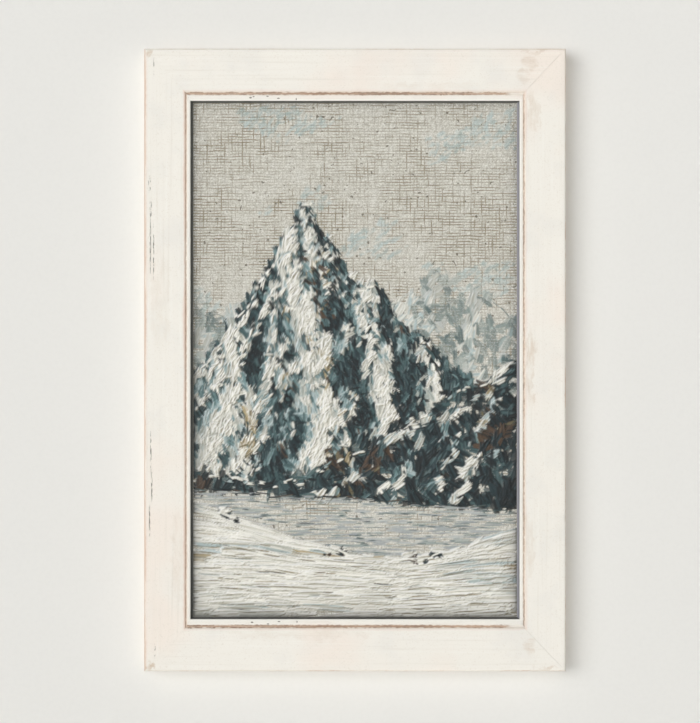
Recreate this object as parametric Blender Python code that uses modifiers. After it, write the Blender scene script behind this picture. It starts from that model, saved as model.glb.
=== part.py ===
"""Framed winter picture for a wall: a mitred, whitewashed moulding with a quirk groove and a sight lip, a
painted panel and a backing board in its rabbet, framer's points, a sawtooth hanger with two nails and two
felt bumpers.

Metres. X runs along the width, Z is up and the picture faces -Y. The origin is the middle of the hanger's
back face, on the wall plane. Run with blender --background --python part.py, or from the text editor.
"""

import math

import bmesh
import bpy
from mathutils import Vector
from mathutils.geometry import tessellate_polygon

# ---- driving dimensions -------------------------------------------------------------------------------
SIGHT_WIDTH = 0.2667  # opening between the lips' inner edges
SIGHT_HEIGHT = 0.4200
SIDE_RAIL = 0.0376  # face width of the left and right rails, from outer edge to lip edge
CROSS_RAIL = 0.0424  # face width of the top and bottom rails
SIDE_FLAT = 0.0330  # flat part of that face
CROSS_FLAT = 0.0346
RAIL_DEPTH = 0.0220  # face to back
LIP_DEPTH = 0.0065  # face to rabbet ledge
FACE_EASE = 0.0018  # rounding of the outer front edge
GROOVE_DEPTH = 0.0015  # quirk between the flat and the lip
LIP_DROP = 0.0004  # the lip's top lies this far below the flat
SCOOP_SIDE = 0.0018  # how far the lip's inner wall slopes inwards, in plan
SCOOP_CROSS = 0.0012
PANEL_WIDTH = 0.2794  # a standard 11 by 17 inch panel
PANEL_HEIGHT = 0.4318
PANEL_THICKNESS = 0.0032
PANEL_PLAY = 0.0010  # between the panel's edge and the rabbet wall
BACKING_THICKNESS = 0.0030
PAINT_THICKNESS = 0.0008  # raised paint on the panel's face
WALL_GAP = 0.0030  # frame back to wall, kept by the hanger and the bumpers
HANGER_DROP = 0.0180  # top of the frame down to the middle of the hanger

CLEARANCE = 0.0003  # between pieces that touch
MITRE_SHORTENING = 0.00025  # each rail's end stops this far short of the mitre line

POINT_LENGTH = 0.0155
POINT_IN_WOOD = 0.0050
POINT_WIDTH = 0.0080
POINT_TIP = 0.0040
POINT_THICKNESS = 0.0006
SIDE_POINT_HEIGHTS = (-0.150, 0.0, 0.150)
CROSS_POINT_PLACES = (-0.070, 0.070)

HANGER_LENGTH = 0.0460
HANGER_HEIGHT = 0.0095
HANGER_STEEL = 0.0009
HANGER_TAB = 0.0080  # flat end that lies on the wood
HANGER_RAMP = 0.0030
HANGER_TEETH = 9
TOOTH_DEPTH = 0.0018
NAIL_SHANK_RADIUS = 0.0007
NAIL_HEAD_RADIUS = 0.0019
NAIL_HEAD_HEIGHT = 0.0008
NAIL_LENGTH = 0.0130
BUMPER_RADIUS = 0.0055
BUMPER_FROM_SIDE = 0.0240
BUMPER_FROM_BOTTOM = 0.0150

OUTER_WIDTH = SIGHT_WIDTH + 2 * SIDE_RAIL
OUTER_HEIGHT = SIGHT_HEIGHT + 2 * CROSS_RAIL
RABBET_WIDTH = PANEL_WIDTH + 2 * PANEL_PLAY
RABBET_HEIGHT = PANEL_HEIGHT + 2 * PANEL_PLAY
VIEW_WIDTH = SIGHT_WIDTH - 2 * SCOOP_SIDE  # what shows of the panel
VIEW_HEIGHT = SIGHT_HEIGHT - 2 * SCOOP_CROSS
PANEL_FRONT = -RAIL_DEPTH + LIP_DEPTH + CLEARANCE  # depths are counted from the frame's back, front negative
PANEL_BACK = PANEL_FRONT + PANEL_THICKNESS
BACKING_FRONT = PANEL_BACK + CLEARANCE
BACKING_BACK = BACKING_FRONT + BACKING_THICKNESS
POINT_DEPTH = BACKING_BACK + CLEARANCE + POINT_THICKNESS / 2

# ---- the picture: skylines of the painted masses, in metres from the panel's middle --------------------
FAR_RANGE = (
    (-0.140, 0.030), (-0.122, 0.044), (-0.108, 0.036), (-0.090, 0.048), (-0.060, 0.040), (0.000, 0.052),
    (0.030, 0.044), (0.052, 0.060), (0.066, 0.079), (0.074, 0.073), (0.088, 0.052), (0.101, 0.061),
    (0.112, 0.050), (0.126, 0.034), (0.140, 0.030),
)  # fmt: skip
PEAK = (
    (-0.140, -0.022), (-0.122, -0.002), (-0.109, 0.014), (-0.097, 0.036), (-0.088, 0.042), (-0.078, 0.064),
    (-0.066, 0.079), (-0.057, 0.101), (-0.050, 0.108), (-0.041, 0.128), (-0.035, 0.120), (-0.027, 0.101),
    (-0.018, 0.094), (-0.008, 0.071), (0.006, 0.058), (0.016, 0.063), (0.027, 0.045), (0.042, 0.022),
    (0.060, 0.012), (0.076, -0.008), (0.100, -0.020), (0.140, -0.036),
)  # fmt: skip
NEAR_RIDGE = (
    (-0.140, -0.088), (-0.112, -0.094), (-0.070, -0.100), (-0.036, -0.092), (-0.010, -0.078), (0.012, -0.070),
    (0.036, -0.050), (0.060, -0.044), (0.084, -0.024), (0.106, -0.018), (0.124, -0.004), (0.140, 0.002),
)  # fmt: skip
LAKE = (
    (-0.140, -0.104), (-0.060, -0.110), (0.000, -0.112), (0.060, -0.118), (0.140, -0.121),
)  # fmt: skip
DRIFT = (
    (-0.140, -0.116), (-0.110, -0.122), (-0.080, -0.133), (-0.040, -0.149), (0.000, -0.158), (0.040, -0.161),
    (0.080, -0.155), (0.110, -0.143), (0.140, -0.135),
)  # fmt: skip
MASSES = (
    ("paint_far_range", FAR_RANGE, (0.27, 0.32, 0.31)),
    ("paint_peak", PEAK, (0.10, 0.16, 0.17)),
    ("paint_near_ridge", NEAR_RIDGE, (0.03, 0.07, 0.08)),
    ("paint_lake", LAKE, (0.38, 0.42, 0.46)),
    ("paint_drift", DRIFT, (0.72, 0.71, 0.66)),
)
PAINT_COLUMNS = 80
THINNEST_PAINT = 0.0012  # a mass ends where less than this of it would show


def clear_scene():
    for old in list(bpy.data.objects):
        bpy.data.objects.remove(old, do_unlink=True)


def new_collection(name, parent):
    collection = bpy.data.collections.new(name)
    parent.children.link(collection)
    return collection


def new_material(name, colour, roughness, metallic=0.0):
    material = bpy.data.materials.new(name)
    material.use_nodes = True
    shader = material.node_tree.nodes["Principled BSDF"]
    shader.inputs["Base Color"].default_value = (*colour, 1.0)
    shader.inputs["Roughness"].default_value = roughness
    shader.inputs["Metallic"].default_value = metallic
    return material


def place(obj, collection, parent, material=None, location=(0, 0, 0), rotation=(0, 0, 0)):
    collection.objects.link(obj)
    obj.parent = parent
    obj.location = location
    obj.rotation_euler = rotation
    if material:
        obj.data.materials.append(material)
    return obj


def mesh_object(name, mesh_builder):
    """A mesh object whose bmesh is filled in by mesh_builder, with its faces turned outwards."""
    mesh = bpy.data.meshes.new(name)
    shape = bmesh.new()
    mesh_builder(shape)
    bmesh.ops.recalc_face_normals(shape, faces=shape.faces)
    shape.to_mesh(mesh)
    shape.free()
    return bpy.data.objects.new(name, mesh)


def make_cutter(obj):
    obj.hide_render = True
    obj.display_type = "WIRE"
    return obj


def cut(obj, cutter):
    boolean = obj.modifiers.new("cut_" + cutter.name, "BOOLEAN")
    boolean.operation = "DIFFERENCE"
    boolean.solver = "EXACT"
    boolean.object = cutter


def bevel(obj, width, segments):
    modifier = obj.modifiers.new("eased_edges", "BEVEL")
    modifier.width = width
    modifier.segments = segments
    modifier.limit_method = "ANGLE"


# ---- moulding -----------------------------------------------------------------------------------------
def arc(across, depth, radius, start, end, steps):
    """Points of a circular arc in the moulding's section, the same across side and cross rails."""
    points = []
    for step in range(steps + 1):
        angle = math.radians(start + (end - start) * step / steps)
        u = across + radius * math.cos(angle)
        points.append((u, u, depth + radius * math.sin(angle)))
    return points


def moulding_section():
    """The section as (across a side rail, across a cross rail, depth), from the back's outer corner round."""
    face = -RAIL_DEPTH
    side_lip = SIDE_RAIL - SIDE_FLAT
    cross_lip = CROSS_RAIL - CROSS_FLAT

    def beyond_flat(share, depth):
        return (SIDE_FLAT + side_lip * share, CROSS_FLAT + cross_lip * share, depth)

    section = [(0.0, 0.0, 0.0)]
    section += arc(FACE_EASE, face + FACE_EASE, FACE_EASE, 180, 270, 5)
    section += [
        beyond_flat(-0.08, face),
        beyond_flat(0.04, face + GROOVE_DEPTH * 0.25),
        beyond_flat(0.16, face + GROOVE_DEPTH * 0.85),
        beyond_flat(0.26, face + GROOVE_DEPTH),
        beyond_flat(0.36, face + GROOVE_DEPTH * 0.85),
        beyond_flat(0.45, face + LIP_DROP + 0.0003),
        beyond_flat(0.54, face + LIP_DROP),
        beyond_flat(0.84, face + LIP_DROP),
        beyond_flat(0.95, face + LIP_DROP + 0.0002),
        beyond_flat(1.00, face + LIP_DROP + 0.0007),
    ]
    wall_top = face + LIP_DROP + 0.0007
    wall_foot = face + LIP_DEPTH - 0.0006
    for step in range(1, 5):
        turn = math.pi / 2 * step / 4
        in_plan = 1 - math.cos(turn)
        depth = wall_top + (wall_foot - wall_top) * math.sin(turn)
        section.append((SIDE_RAIL + SCOOP_SIDE * in_plan, CROSS_RAIL + SCOOP_CROSS * in_plan, depth))
    section += [
        (SIDE_RAIL + SCOOP_SIDE, CROSS_RAIL + SCOOP_CROSS, face + LIP_DEPTH),
        ((OUTER_WIDTH - RABBET_WIDTH) / 2, (OUTER_HEIGHT - RABBET_HEIGHT) / 2, face + LIP_DEPTH),
        ((OUTER_WIDTH - RABBET_WIDTH) / 2, (OUTER_HEIGHT - RABBET_HEIGHT) / 2, 0.0),
    ]
    return section


def rail(name, side):
    """One mitred rail, lofted between its two corners. side is left, right, top or bottom."""
    upright = side in ("left", "right")
    outward = -1 if side in ("left", "bottom") else 1
    section = moulding_section()
    flat_section = [Vector((side_across, depth, 0)) for side_across, _, depth in section]
    cap_triangles = tessellate_polygon([flat_section])  # the same cap on both rails that meet at a mitre

    def build(shape):
        ends = []
        for end in (-1, 1):
            ring = []
            for side_across, cross_across, depth in section:
                x = OUTER_WIDTH / 2 - side_across
                z = OUTER_HEIGHT / 2 - cross_across
                if upright:
                    corner = (outward * x, depth, end * (z - MITRE_SHORTENING))
                else:
                    corner = (end * (x - MITRE_SHORTENING), depth, outward * z)
                ring.append(shape.verts.new(corner))
            ends.append(ring)
        low, high = ends
        count = len(low)
        for i in range(count):
            shape.faces.new((low[i], low[(i + 1) % count], high[(i + 1) % count], high[i]))
        for ring in ends:
            for triangle in cap_triangles:
                shape.faces.new([ring[i] for i in triangle])

    return mesh_object(name, build)


# ---- painted panel and backing ------------------------------------------------------------------------
def board(name, width, thickness, height):
    obj = mesh_object(name, lambda shape: bmesh.ops.create_cube(shape, size=1.0))
    for vertex in obj.data.vertices:
        vertex.co = (vertex.co.x * width, vertex.co.y * thickness, vertex.co.z * height)
    bevel(obj, 0.0003, 1)
    return obj


def skyline(points, x):
    """Height of a skyline at x, on straight lines between its points."""
    for (x0, z0), (x1, z1) in zip(points, points[1:]):
        if x <= x1:
            return z0 + (z1 - z0) * (x - x0) / (x1 - x0)
    return points[-1][1]


def mass_outlines(index):
    """Closed outlines of one painted mass, one for each stretch that the nearer masses leave in view."""
    half = VIEW_WIDTH / 2 - CLEARANCE
    foot = -VIEW_HEIGHT / 2 + CLEARANCE
    own = MASSES[index][1]
    nearer = [mass[1] for mass in MASSES[index + 1 :]]
    stretches = [[]]
    for column in range(PAINT_COLUMNS + 1):
        x = -half + 2 * half * column / PAINT_COLUMNS
        high = skyline(own, x)
        low = max([foot] + [skyline(points, x) + CLEARANCE for points in nearer])
        if high - low > THINNEST_PAINT:
            stretches[-1].append((x, low, high))
        elif stretches[-1]:
            stretches.append([])
    outlines = []
    for columns in stretches:
        if len(columns) > 1:
            top = [(x, high) for x, low, high in columns]
            bottom = [(x, low) for x, low, high in columns]
            outlines.append(top + bottom[::-1])
    return outlines


def flat_shape(name, outline, thickness):
    """A flat outline in the picture's plane, extruded evenly to both sides of it."""
    curve = bpy.data.curves.new(name, "CURVE")
    curve.dimensions = "2D"
    curve.fill_mode = "BOTH"
    curve.extrude = thickness / 2
    spline = curve.splines.new("POLY")
    spline.points.add(len(outline) - 1)
    for point, (x, z) in zip(spline.points, outline):
        point.co = (x, z, 0, 1)
    spline.use_cyclic_u = True
    return bpy.data.objects.new(name, curve)


# ---- fixings on the back ------------------------------------------------------------------------------
def point_outline():
    """A framer's point seen from the back, its root at x = 0 and its rounded tip over the backing."""
    outline = [(0.0, -POINT_WIDTH / 2), (POINT_LENGTH - POINT_TIP, -POINT_WIDTH / 2)]
    for step in range(1, 6):
        angle = math.radians(-90 + 30 * step)
        x = POINT_LENGTH - POINT_TIP + POINT_TIP * math.cos(angle)
        outline.append((x, POINT_WIDTH / 2 * math.sin(angle)))
    outline += [(POINT_LENGTH - POINT_TIP, POINT_WIDTH / 2), (0.0, POINT_WIDTH / 2)]
    return outline


def box_cutter(name, size):
    obj = mesh_object(name, lambda shape: bmesh.ops.create_cube(shape, size=1.0))
    for vertex in obj.data.vertices:
        vertex.co = tuple(value * length for value, length in zip(vertex.co, size))
    return make_cutter(obj)


def hole_cutter(name, radius, length):
    def build(shape):
        bmesh.ops.create_cone(
            shape, cap_ends=True, segments=16, radius1=radius, radius2=radius, depth=length
        )

    return make_cutter(mesh_object(name, build))


def hanger_lift(x):
    """Depth of the strip's wood side above the frame's back: flat tabs, then ramps up to the bridge."""
    tab = CLEARANCE
    bridge = WALL_GAP - HANGER_STEEL
    from_end = HANGER_LENGTH / 2 - abs(x)
    climbed = min(max((from_end - HANGER_TAB) / HANGER_RAMP, 0.0), 1.0)
    return tab + (bridge - tab) * climbed


def hanger_strip():
    """The sawtooth hanger: a bent strip with teeth along the bridge's lower edge, thickened towards the wall."""
    half = HANGER_LENGTH / 2
    bridge_half = half - HANGER_TAB - HANGER_RAMP
    columns = [(-half, 0.0), (-half + HANGER_TAB, 0.0)]
    for i in range(2 * HANGER_TEETH + 1):
        x = -bridge_half + 2 * bridge_half * i / (2 * HANGER_TEETH)
        columns.append((x, TOOTH_DEPTH if i % 2 else 0.0))
    columns += [(half - HANGER_TAB, 0.0), (half, 0.0)]

    def build(shape):
        rows = []
        for x, notch in columns:
            low = shape.verts.new((x, hanger_lift(x), -HANGER_HEIGHT / 2 + notch))
            high = shape.verts.new((x, hanger_lift(x), HANGER_HEIGHT / 2))
            rows.append((low, high))
        for (low, high), (next_low, next_high) in zip(rows, rows[1:]):
            shape.faces.new((low, high, next_high, next_low))

    obj = mesh_object("sawtooth_hanger", build)
    wood_side_first = obj.data.polygons[0].normal.y > 0
    solidify = obj.modifiers.new("steel", "SOLIDIFY")
    solidify.thickness = HANGER_STEEL
    solidify.offset = 1.0 if wood_side_first else -1.0
    return obj


def turned(name, profile, segments):
    """A turned piece: a closed-at-the-axis profile of (radius, height), top to bottom, swept round +Z."""
    mesh = bpy.data.meshes.new(name)
    vertices = [(radius, 0.0, height) for radius, height in profile]
    edges = [(i, i + 1) for i in range(len(vertices) - 1)]
    mesh.from_pydata(vertices, edges, [])
    obj = bpy.data.objects.new(name, mesh)
    screw = obj.modifiers.new("turn", "SCREW")
    screw.axis = "Z"
    screw.steps = segments
    screw.render_steps = segments
    screw.use_merge_vertices = True
    screw.merge_threshold = 0.00002
    return obj


def nail(name):
    head_top = NAIL_HEAD_HEIGHT
    profile = [
        (0.0, head_top),
        (NAIL_HEAD_RADIUS * 0.55, head_top * 0.88),
        (NAIL_HEAD_RADIUS * 0.90, head_top * 0.50),
        (NAIL_HEAD_RADIUS, 0.0),
        (NAIL_SHANK_RADIUS, 0.0),
        (NAIL_SHANK_RADIUS, -NAIL_LENGTH + 0.0015),
        (0.0, -NAIL_LENGTH),
    ]
    return turned(name, profile, 12)


def bumper(name):
    height = WALL_GAP - CLEARANCE
    profile = [
        (0.0, height),
        (BUMPER_RADIUS - 0.0006, height),
        (BUMPER_RADIUS - 0.0002, height - 0.0003),
        (BUMPER_RADIUS, height - 0.0008),
        (BUMPER_RADIUS, 0.0),
        (0.0, 0.0),
    ]
    return turned(name, profile, 24)


# ---- assembly -----------------------------------------------------------------------------------------
def build_rails(parts, centre, paint):
    rails = {}
    for side in ("left", "right", "top", "bottom"):
        rails[side] = place(rail("rail_" + side, side), parts, centre, paint)
    return rails


def build_panel(parts, centre, ground, hardboard):
    panel = board("picture_panel", PANEL_WIDTH, PANEL_THICKNESS, PANEL_HEIGHT)
    place(panel, parts, centre, ground, (0, (PANEL_FRONT + PANEL_BACK) / 2, 0))
    backing = board("backing_board", PANEL_WIDTH, BACKING_THICKNESS, PANEL_HEIGHT)
    place(backing, parts, centre, hardboard, (0, (BACKING_FRONT + BACKING_BACK) / 2, 0))
    paint_middle = PANEL_FRONT - CLEARANCE - PAINT_THICKNESS / 2
    for index, (name, _, colour) in enumerate(MASSES):
        paint = new_material(name, colour, 0.55)
        outlines = mass_outlines(index)
        for number, outline in enumerate(outlines, 1):
            piece_name = name if len(outlines) == 1 else f"{name}_{number}"
            mass = flat_shape(piece_name, outline, PAINT_THICKNESS)
            place(mass, parts, centre, paint, (0, paint_middle, 0), (math.pi / 2, 0, 0))


def build_points(parts, cutters, centre, rails, steel):
    """Framer's points: three on each long side and two on each short one, each rooted in a slot in its rail."""
    side_wall = RABBET_WIDTH / 2
    cross_wall = RABBET_HEIGHT / 2
    seats = []
    for number, z in enumerate(SIDE_POINT_HEIGHTS, 1):
        seats.append(("left", number, (-side_wall, z), 0.0))
        seats.append(("right", number, (side_wall, z), math.pi))
    for number, x in enumerate(CROSS_POINT_PLACES, 1):
        seats.append(("bottom", number, (x, -cross_wall), math.pi / 2))
        seats.append(("top", number, (x, cross_wall), -math.pi / 2))
    for side, number, (wall_x, wall_z), heading in seats:
        inward = (math.cos(heading), math.sin(heading))
        root_x = wall_x - inward[0] * POINT_IN_WOOD
        root_z = wall_z - inward[1] * POINT_IN_WOOD
        name = f"point_{side}_{number}"
        point = flat_shape(name, point_outline(), POINT_THICKNESS)
        upright = (math.pi / 2, -heading, 0)
        place(point, parts, centre, steel, (root_x, POINT_DEPTH, root_z), upright)

        slot_size = (
            POINT_IN_WOOD + 0.002,
            POINT_THICKNESS + 2 * CLEARANCE,
            POINT_WIDTH + 2 * CLEARANCE,
        )
        slot = box_cutter("slot_" + name, slot_size)
        to_middle = slot_size[0] / 2 - CLEARANCE
        middle = (root_x + inward[0] * to_middle, POINT_DEPTH, root_z + inward[1] * to_middle)
        place(slot, cutters, centre, None, middle, (0, -heading, 0))
        cut(rails[side], slot)


def build_hanger(parts, cutters, centre, top_rail, steel):
    hanger_height = OUTER_HEIGHT / 2 - HANGER_DROP
    hanger = place(hanger_strip(), parts, centre, steel, (0, 0, hanger_height))
    nail_out = HANGER_LENGTH / 2 - HANGER_TAB / 2
    head_seat = CLEARANCE + HANGER_STEEL + CLEARANCE
    along_wall_axis = (-math.pi / 2, 0, 0)
    for side, x in (("left", -nail_out), ("right", nail_out)):
        seat = (x, head_seat, hanger_height)
        place(nail("hanger_nail_" + side), parts, centre, steel, seat, along_wall_axis)
        radius = NAIL_SHANK_RADIUS + CLEARANCE
        hole = hole_cutter("nail_hole_" + side, radius, 2 * (NAIL_LENGTH + CLEARANCE))
        place(hole, cutters, centre, None, seat, along_wall_axis)
        cut(top_rail, hole)
        cut(hanger, hole)


def build_bumpers(parts, centre, felt):
    x = OUTER_WIDTH / 2 - BUMPER_FROM_SIDE
    z = -OUTER_HEIGHT / 2 + BUMPER_FROM_BOTTOM
    for side, across in (("left", -x), ("right", x)):
        seat = (across, CLEARANCE, z)
        place(bumper("bumper_" + side), parts, centre, felt, seat, (-math.pi / 2, 0, 0))


def build():
    clear_scene()
    parts = new_collection("framed_picture", bpy.context.scene.collection)
    cutters = new_collection("cutters", bpy.context.scene.collection)
    centre = bpy.data.objects.new("frame_back_centre", None)
    centre.location = (0, -WALL_GAP, -(OUTER_HEIGHT / 2 - HANGER_DROP))
    parts.objects.link(centre)

    whitewash = new_material("whitewashed_wood", (0.88, 0.85, 0.77), 0.60)
    ground = new_material("painted_ground", (0.50, 0.49, 0.43), 0.65)
    hardboard = new_material("brown_hardboard", (0.30, 0.19, 0.11), 0.80)
    steel = new_material("zinc_plated_steel", (0.62, 0.62, 0.60), 0.35, 1.0)
    felt = new_material("brown_felt", (0.12, 0.08, 0.06), 0.95)

    rails = build_rails(parts, centre, whitewash)
    build_panel(parts, centre, ground, hardboard)
    build_points(parts, cutters, centre, rails, steel)
    build_hanger(parts, cutters, centre, rails["top"], steel)
    build_bumpers(parts, centre, felt)
    bpy.context.view_layer.update()


build()
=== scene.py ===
# %% [markdown]
# # A framed winter picture for a wall
#
# The object is a mitred wooden frame, whitewashed and rubbed through at its groove and edges, around a
# thickly painted winter landscape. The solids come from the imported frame. This script gives them their
# looks: rails with hand-worn edges, a relief of oil paint, and the fixings on the back. Lengths are in
# metres, X runs along the width, Z is up and the picture faces -Y.

# %% Load the solids and keep their box
import functools
import math

import bmesh
import bpy
import numpy as np
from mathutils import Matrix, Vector


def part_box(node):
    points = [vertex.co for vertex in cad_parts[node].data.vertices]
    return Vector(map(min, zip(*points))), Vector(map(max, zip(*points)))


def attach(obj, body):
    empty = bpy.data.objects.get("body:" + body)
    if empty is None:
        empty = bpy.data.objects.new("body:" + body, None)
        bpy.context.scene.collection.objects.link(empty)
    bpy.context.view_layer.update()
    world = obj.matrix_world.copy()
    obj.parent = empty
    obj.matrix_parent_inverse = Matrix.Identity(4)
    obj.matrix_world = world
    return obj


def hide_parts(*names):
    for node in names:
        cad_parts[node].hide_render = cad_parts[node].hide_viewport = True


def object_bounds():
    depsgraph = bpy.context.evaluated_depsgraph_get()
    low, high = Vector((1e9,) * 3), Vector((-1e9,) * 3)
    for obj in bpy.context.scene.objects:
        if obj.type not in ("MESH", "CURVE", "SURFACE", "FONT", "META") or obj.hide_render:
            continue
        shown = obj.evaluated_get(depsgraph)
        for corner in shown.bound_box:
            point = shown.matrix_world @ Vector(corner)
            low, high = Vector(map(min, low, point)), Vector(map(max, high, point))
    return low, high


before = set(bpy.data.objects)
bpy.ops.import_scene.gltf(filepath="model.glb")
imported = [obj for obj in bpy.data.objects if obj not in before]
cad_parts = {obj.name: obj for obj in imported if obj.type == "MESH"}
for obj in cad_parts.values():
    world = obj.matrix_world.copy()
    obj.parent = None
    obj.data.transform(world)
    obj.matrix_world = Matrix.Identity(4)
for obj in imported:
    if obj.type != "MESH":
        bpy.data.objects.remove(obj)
cad_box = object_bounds()
print("solids:", len(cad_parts), "box:", [round(v, 4) for v in (*cad_box[0], *cad_box[1])])

# %% [markdown]
# ## Sizes
#
# Everything is placed from the solids. The rails' boxes give the frame's outside, its face and its back.
# What a box doesn't tell, such as the width of the flat and the depth of the groove, is named here once.

# %% Named sizes
LEFT_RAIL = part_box("rail_left")
TOP_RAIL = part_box("rail_top")
BOTTOM_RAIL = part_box("rail_bottom")
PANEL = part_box("picture_panel")

HALF_WIDTH = -LEFT_RAIL[0].x
HALF_HEIGHT = (TOP_RAIL[1].z - BOTTOM_RAIL[0].z) / 2
CENTRE_Z = (TOP_RAIL[1].z + BOTTOM_RAIL[0].z) / 2
FACE_Y = LEFT_RAIL[0].y
BACK_Y = LEFT_RAIL[1].y
RAIL_DEPTH = BACK_Y - FACE_Y

SIDE_RAIL = 0.0376  # face width from the outer edge to the lip's inner edge, on the side rails
CROSS_RAIL = 0.0424  # and on the top and bottom rails
SIDE_FLAT = 0.0330  # the flat part of that face
CROSS_FLAT = 0.0346
SCOOP_SIDE = 0.0018  # how far the lip's inner wall slopes inwards
SCOOP_CROSS = 0.0012
LIP_DEPTH = 0.0065  # face to rabbet ledge
LIP_DROP = 0.0004
GROOVE_DEPTH = 0.0015
FACE_EASE = 0.0018
PANEL_PLAY = 0.0010
RABBET_SIDE = HALF_WIDTH - PANEL[1].x - PANEL_PLAY
RABBET_CROSS = HALF_HEIGHT - (PANEL[1].z - PANEL[0].z) / 2 - PANEL_PLAY

VIEW_X = HALF_WIDTH - SIDE_RAIL - SCOOP_SIDE  # half of what shows of the picture
VIEW_Z = HALF_HEIGHT - CROSS_RAIL - SCOOP_CROSS
print("picture in view:", round(2 * VIEW_X, 4), "by", round(2 * VIEW_Z, 4))

# %% [markdown]
# ## Node trees as expressions
#
# A material or a Geometry Nodes tree is a graph of sockets. Written link by link it is hard to read, so one
# small class wraps a socket. Its operators add Math nodes, and its `node` method adds any other node.

# %% The Wire class


def screen(red, green, blue):
    """A screen colour, 0 to 255 a channel, as the linear colour that a socket takes."""
    linear = []
    for value in (red, green, blue):
        share = value / 255
        linear.append(share / 12.92 if share <= 0.04045 else ((share + 0.055) / 1.055) ** 2.4)
    return (*linear, 1.0)


class Wire:
    """A socket of a node tree that works in Python expressions."""

    def __init__(self, tree, socket=None):
        self.tree = tree
        self.socket = socket

    def node(self, kind, sockets=None, output=0, **settings):
        """Adds a node: its settings first, then the values or links of its sockets."""
        made = self.tree.nodes.new(kind)
        for name, value in settings.items():
            setattr(made, name, value)
        for name, value in (sockets or {}).items():
            if isinstance(value, Wire):
                self.tree.links.new(value.socket, made.inputs[name])
            else:
                made.inputs[name].default_value = value
        return Wire(self.tree, made.outputs[output] if len(made.outputs) else None)

    def other(self, output):
        """Another output of the node that this socket belongs to."""
        return Wire(self.tree, self.socket.node.outputs[output])

    def math(self, operation, *others):
        """A Math node whose first value is this one."""
        return self.node("ShaderNodeMath", dict(enumerate((self, *others))), operation=operation)

    def __add__(self, other):
        return self.math("ADD", other)

    def __sub__(self, other):
        return self.math("SUBTRACT", other)

    def __rsub__(self, other):
        return self.node("ShaderNodeMath", {0: other, 1: self}, operation="SUBTRACT")

    def __mul__(self, other):
        return self.math("MULTIPLY", other)

    __radd__ = __add__
    __rmul__ = __mul__

    def least(self, other):
        return self.math("MINIMUM", other)

    def most(self, other):
        return self.math("MAXIMUM", other)

    def ease(self, low, high):
        """0 at low and 1 at high, with a smooth rise between. With low above high it falls instead."""
        sockets = {"Value": self, "From Min": low, "From Max": high}
        return self.node("ShaderNodeMapRange", sockets, interpolation_type="SMOOTHSTEP")

    def vectors(self, operation, other, index=1):
        """A Vector Math node whose first value is this one. The number that SCALE takes has index 3."""
        return self.node("ShaderNodeVectorMath", {0: self, index: other}, operation=operation)

    def axes(self):
        """This vector's X, Y and Z."""
        x = self.node("ShaderNodeSeparateXYZ", {0: self})
        return x, x.other("Y"), x.other("Z")

    def noise(self, scale, detail=2.0, roughness=0.5):
        """Noise from 0 to 1 at this place. scale counts blobs in a metre, or has a count for each axis."""
        if isinstance(scale, tuple):
            return self.vectors("MULTIPLY", scale).noise(1.0, detail, roughness)
        sockets = {"Vector": self, "Scale": scale, "Detail": detail, "Roughness": roughness}
        return self.node("ShaderNodeTexNoise", sockets)

    def blend(self, over, share):
        """This colour with another one laid over it."""
        return self.node("ShaderNodeMix", {0: share, 6: self, 7: over}, 2, data_type="RGBA")

    def coats(self, *coats):
        """This colour under coats of other ones, each given as a screen colour and its share."""
        colour = self
        for *over, share in coats:
            colour = colour.blend(screen(*over), share)
        return colour

    def ramp(self, *stops):
        """A colour ramp read at this value. Each stop is a position and a screen colour."""
        read_here = self.node("ShaderNodeValToRGB", {0: self})
        elements = read_here.socket.node.color_ramp.elements
        while len(elements) < len(stops):
            elements.new(1.0)
        for element, (position, *colour) in zip(elements, stops):
            element.position = position
            element.color = screen(*colour)
        return read_here


# %% Helpers for materials and meshes


def new_material(name):
    """An empty material and a Wire to start its nodes from."""
    material = bpy.data.materials.new(name)
    material.use_nodes = True
    material.node_tree.nodes.clear()
    return material, Wire(material.node_tree)


def plain(sheet, *colour):
    """A screen colour as a Wire, to lay coats over."""
    sockets = {0: 0.0, 6: screen(*colour), 7: screen(*colour)}
    return sheet.node("ShaderNodeMix", sockets, 2, data_type="RGBA")


def object_place(sheet):
    return sheet.node("ShaderNodeTexCoord", output="Object")


def own_attribute(sheet, name, output="Fac"):
    return sheet.node("ShaderNodeAttribute", output=output, attribute_name=name)


def shade(sheet, colour, roughness, height, distance, **fixed):
    """Ends a material: a Principled shader whose normal follows height, in shares of distance."""
    normal = sheet.node("ShaderNodeBump", {"Height": height, "Distance": distance})
    sockets = {"Base Color": colour, "Roughness": roughness, "Normal": normal}
    for name, value in fixed.items():
        sockets[name.replace("_", " ")] = value
    shader = sheet.node("ShaderNodeBsdfPrincipled", sockets)
    sheet.node("ShaderNodeOutputMaterial", {"Surface": shader})


def linked(name, data):
    """A new object in the scene with this mesh, light or camera."""
    thing = bpy.data.objects.new(name, data)
    bpy.context.scene.collection.objects.link(thing)
    return thing


def give(mesh, name, numbers, kind="FLOAT"):
    """Stores a value, vector or colour on each point of a mesh."""
    key = {"FLOAT": "value", "FLOAT_VECTOR": "vector", "FLOAT_COLOR": "color"}[kind]
    mesh.attributes.new(name, kind, "POINT").data.foreach_set(key, np.ravel(numbers))


def eased(value, low, high):
    """The same smooth rise as Wire.ease, on plain numbers or arrays."""
    share = np.clip((np.asarray(value, float) - low) / (high - low), 0, 1)
    return share * share * (3 - 2 * share)


def mixed(first, second, share):
    """first where share is 0, second where it is 1."""
    return first * (1 - share) + second * share


print("helpers ready")

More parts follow.
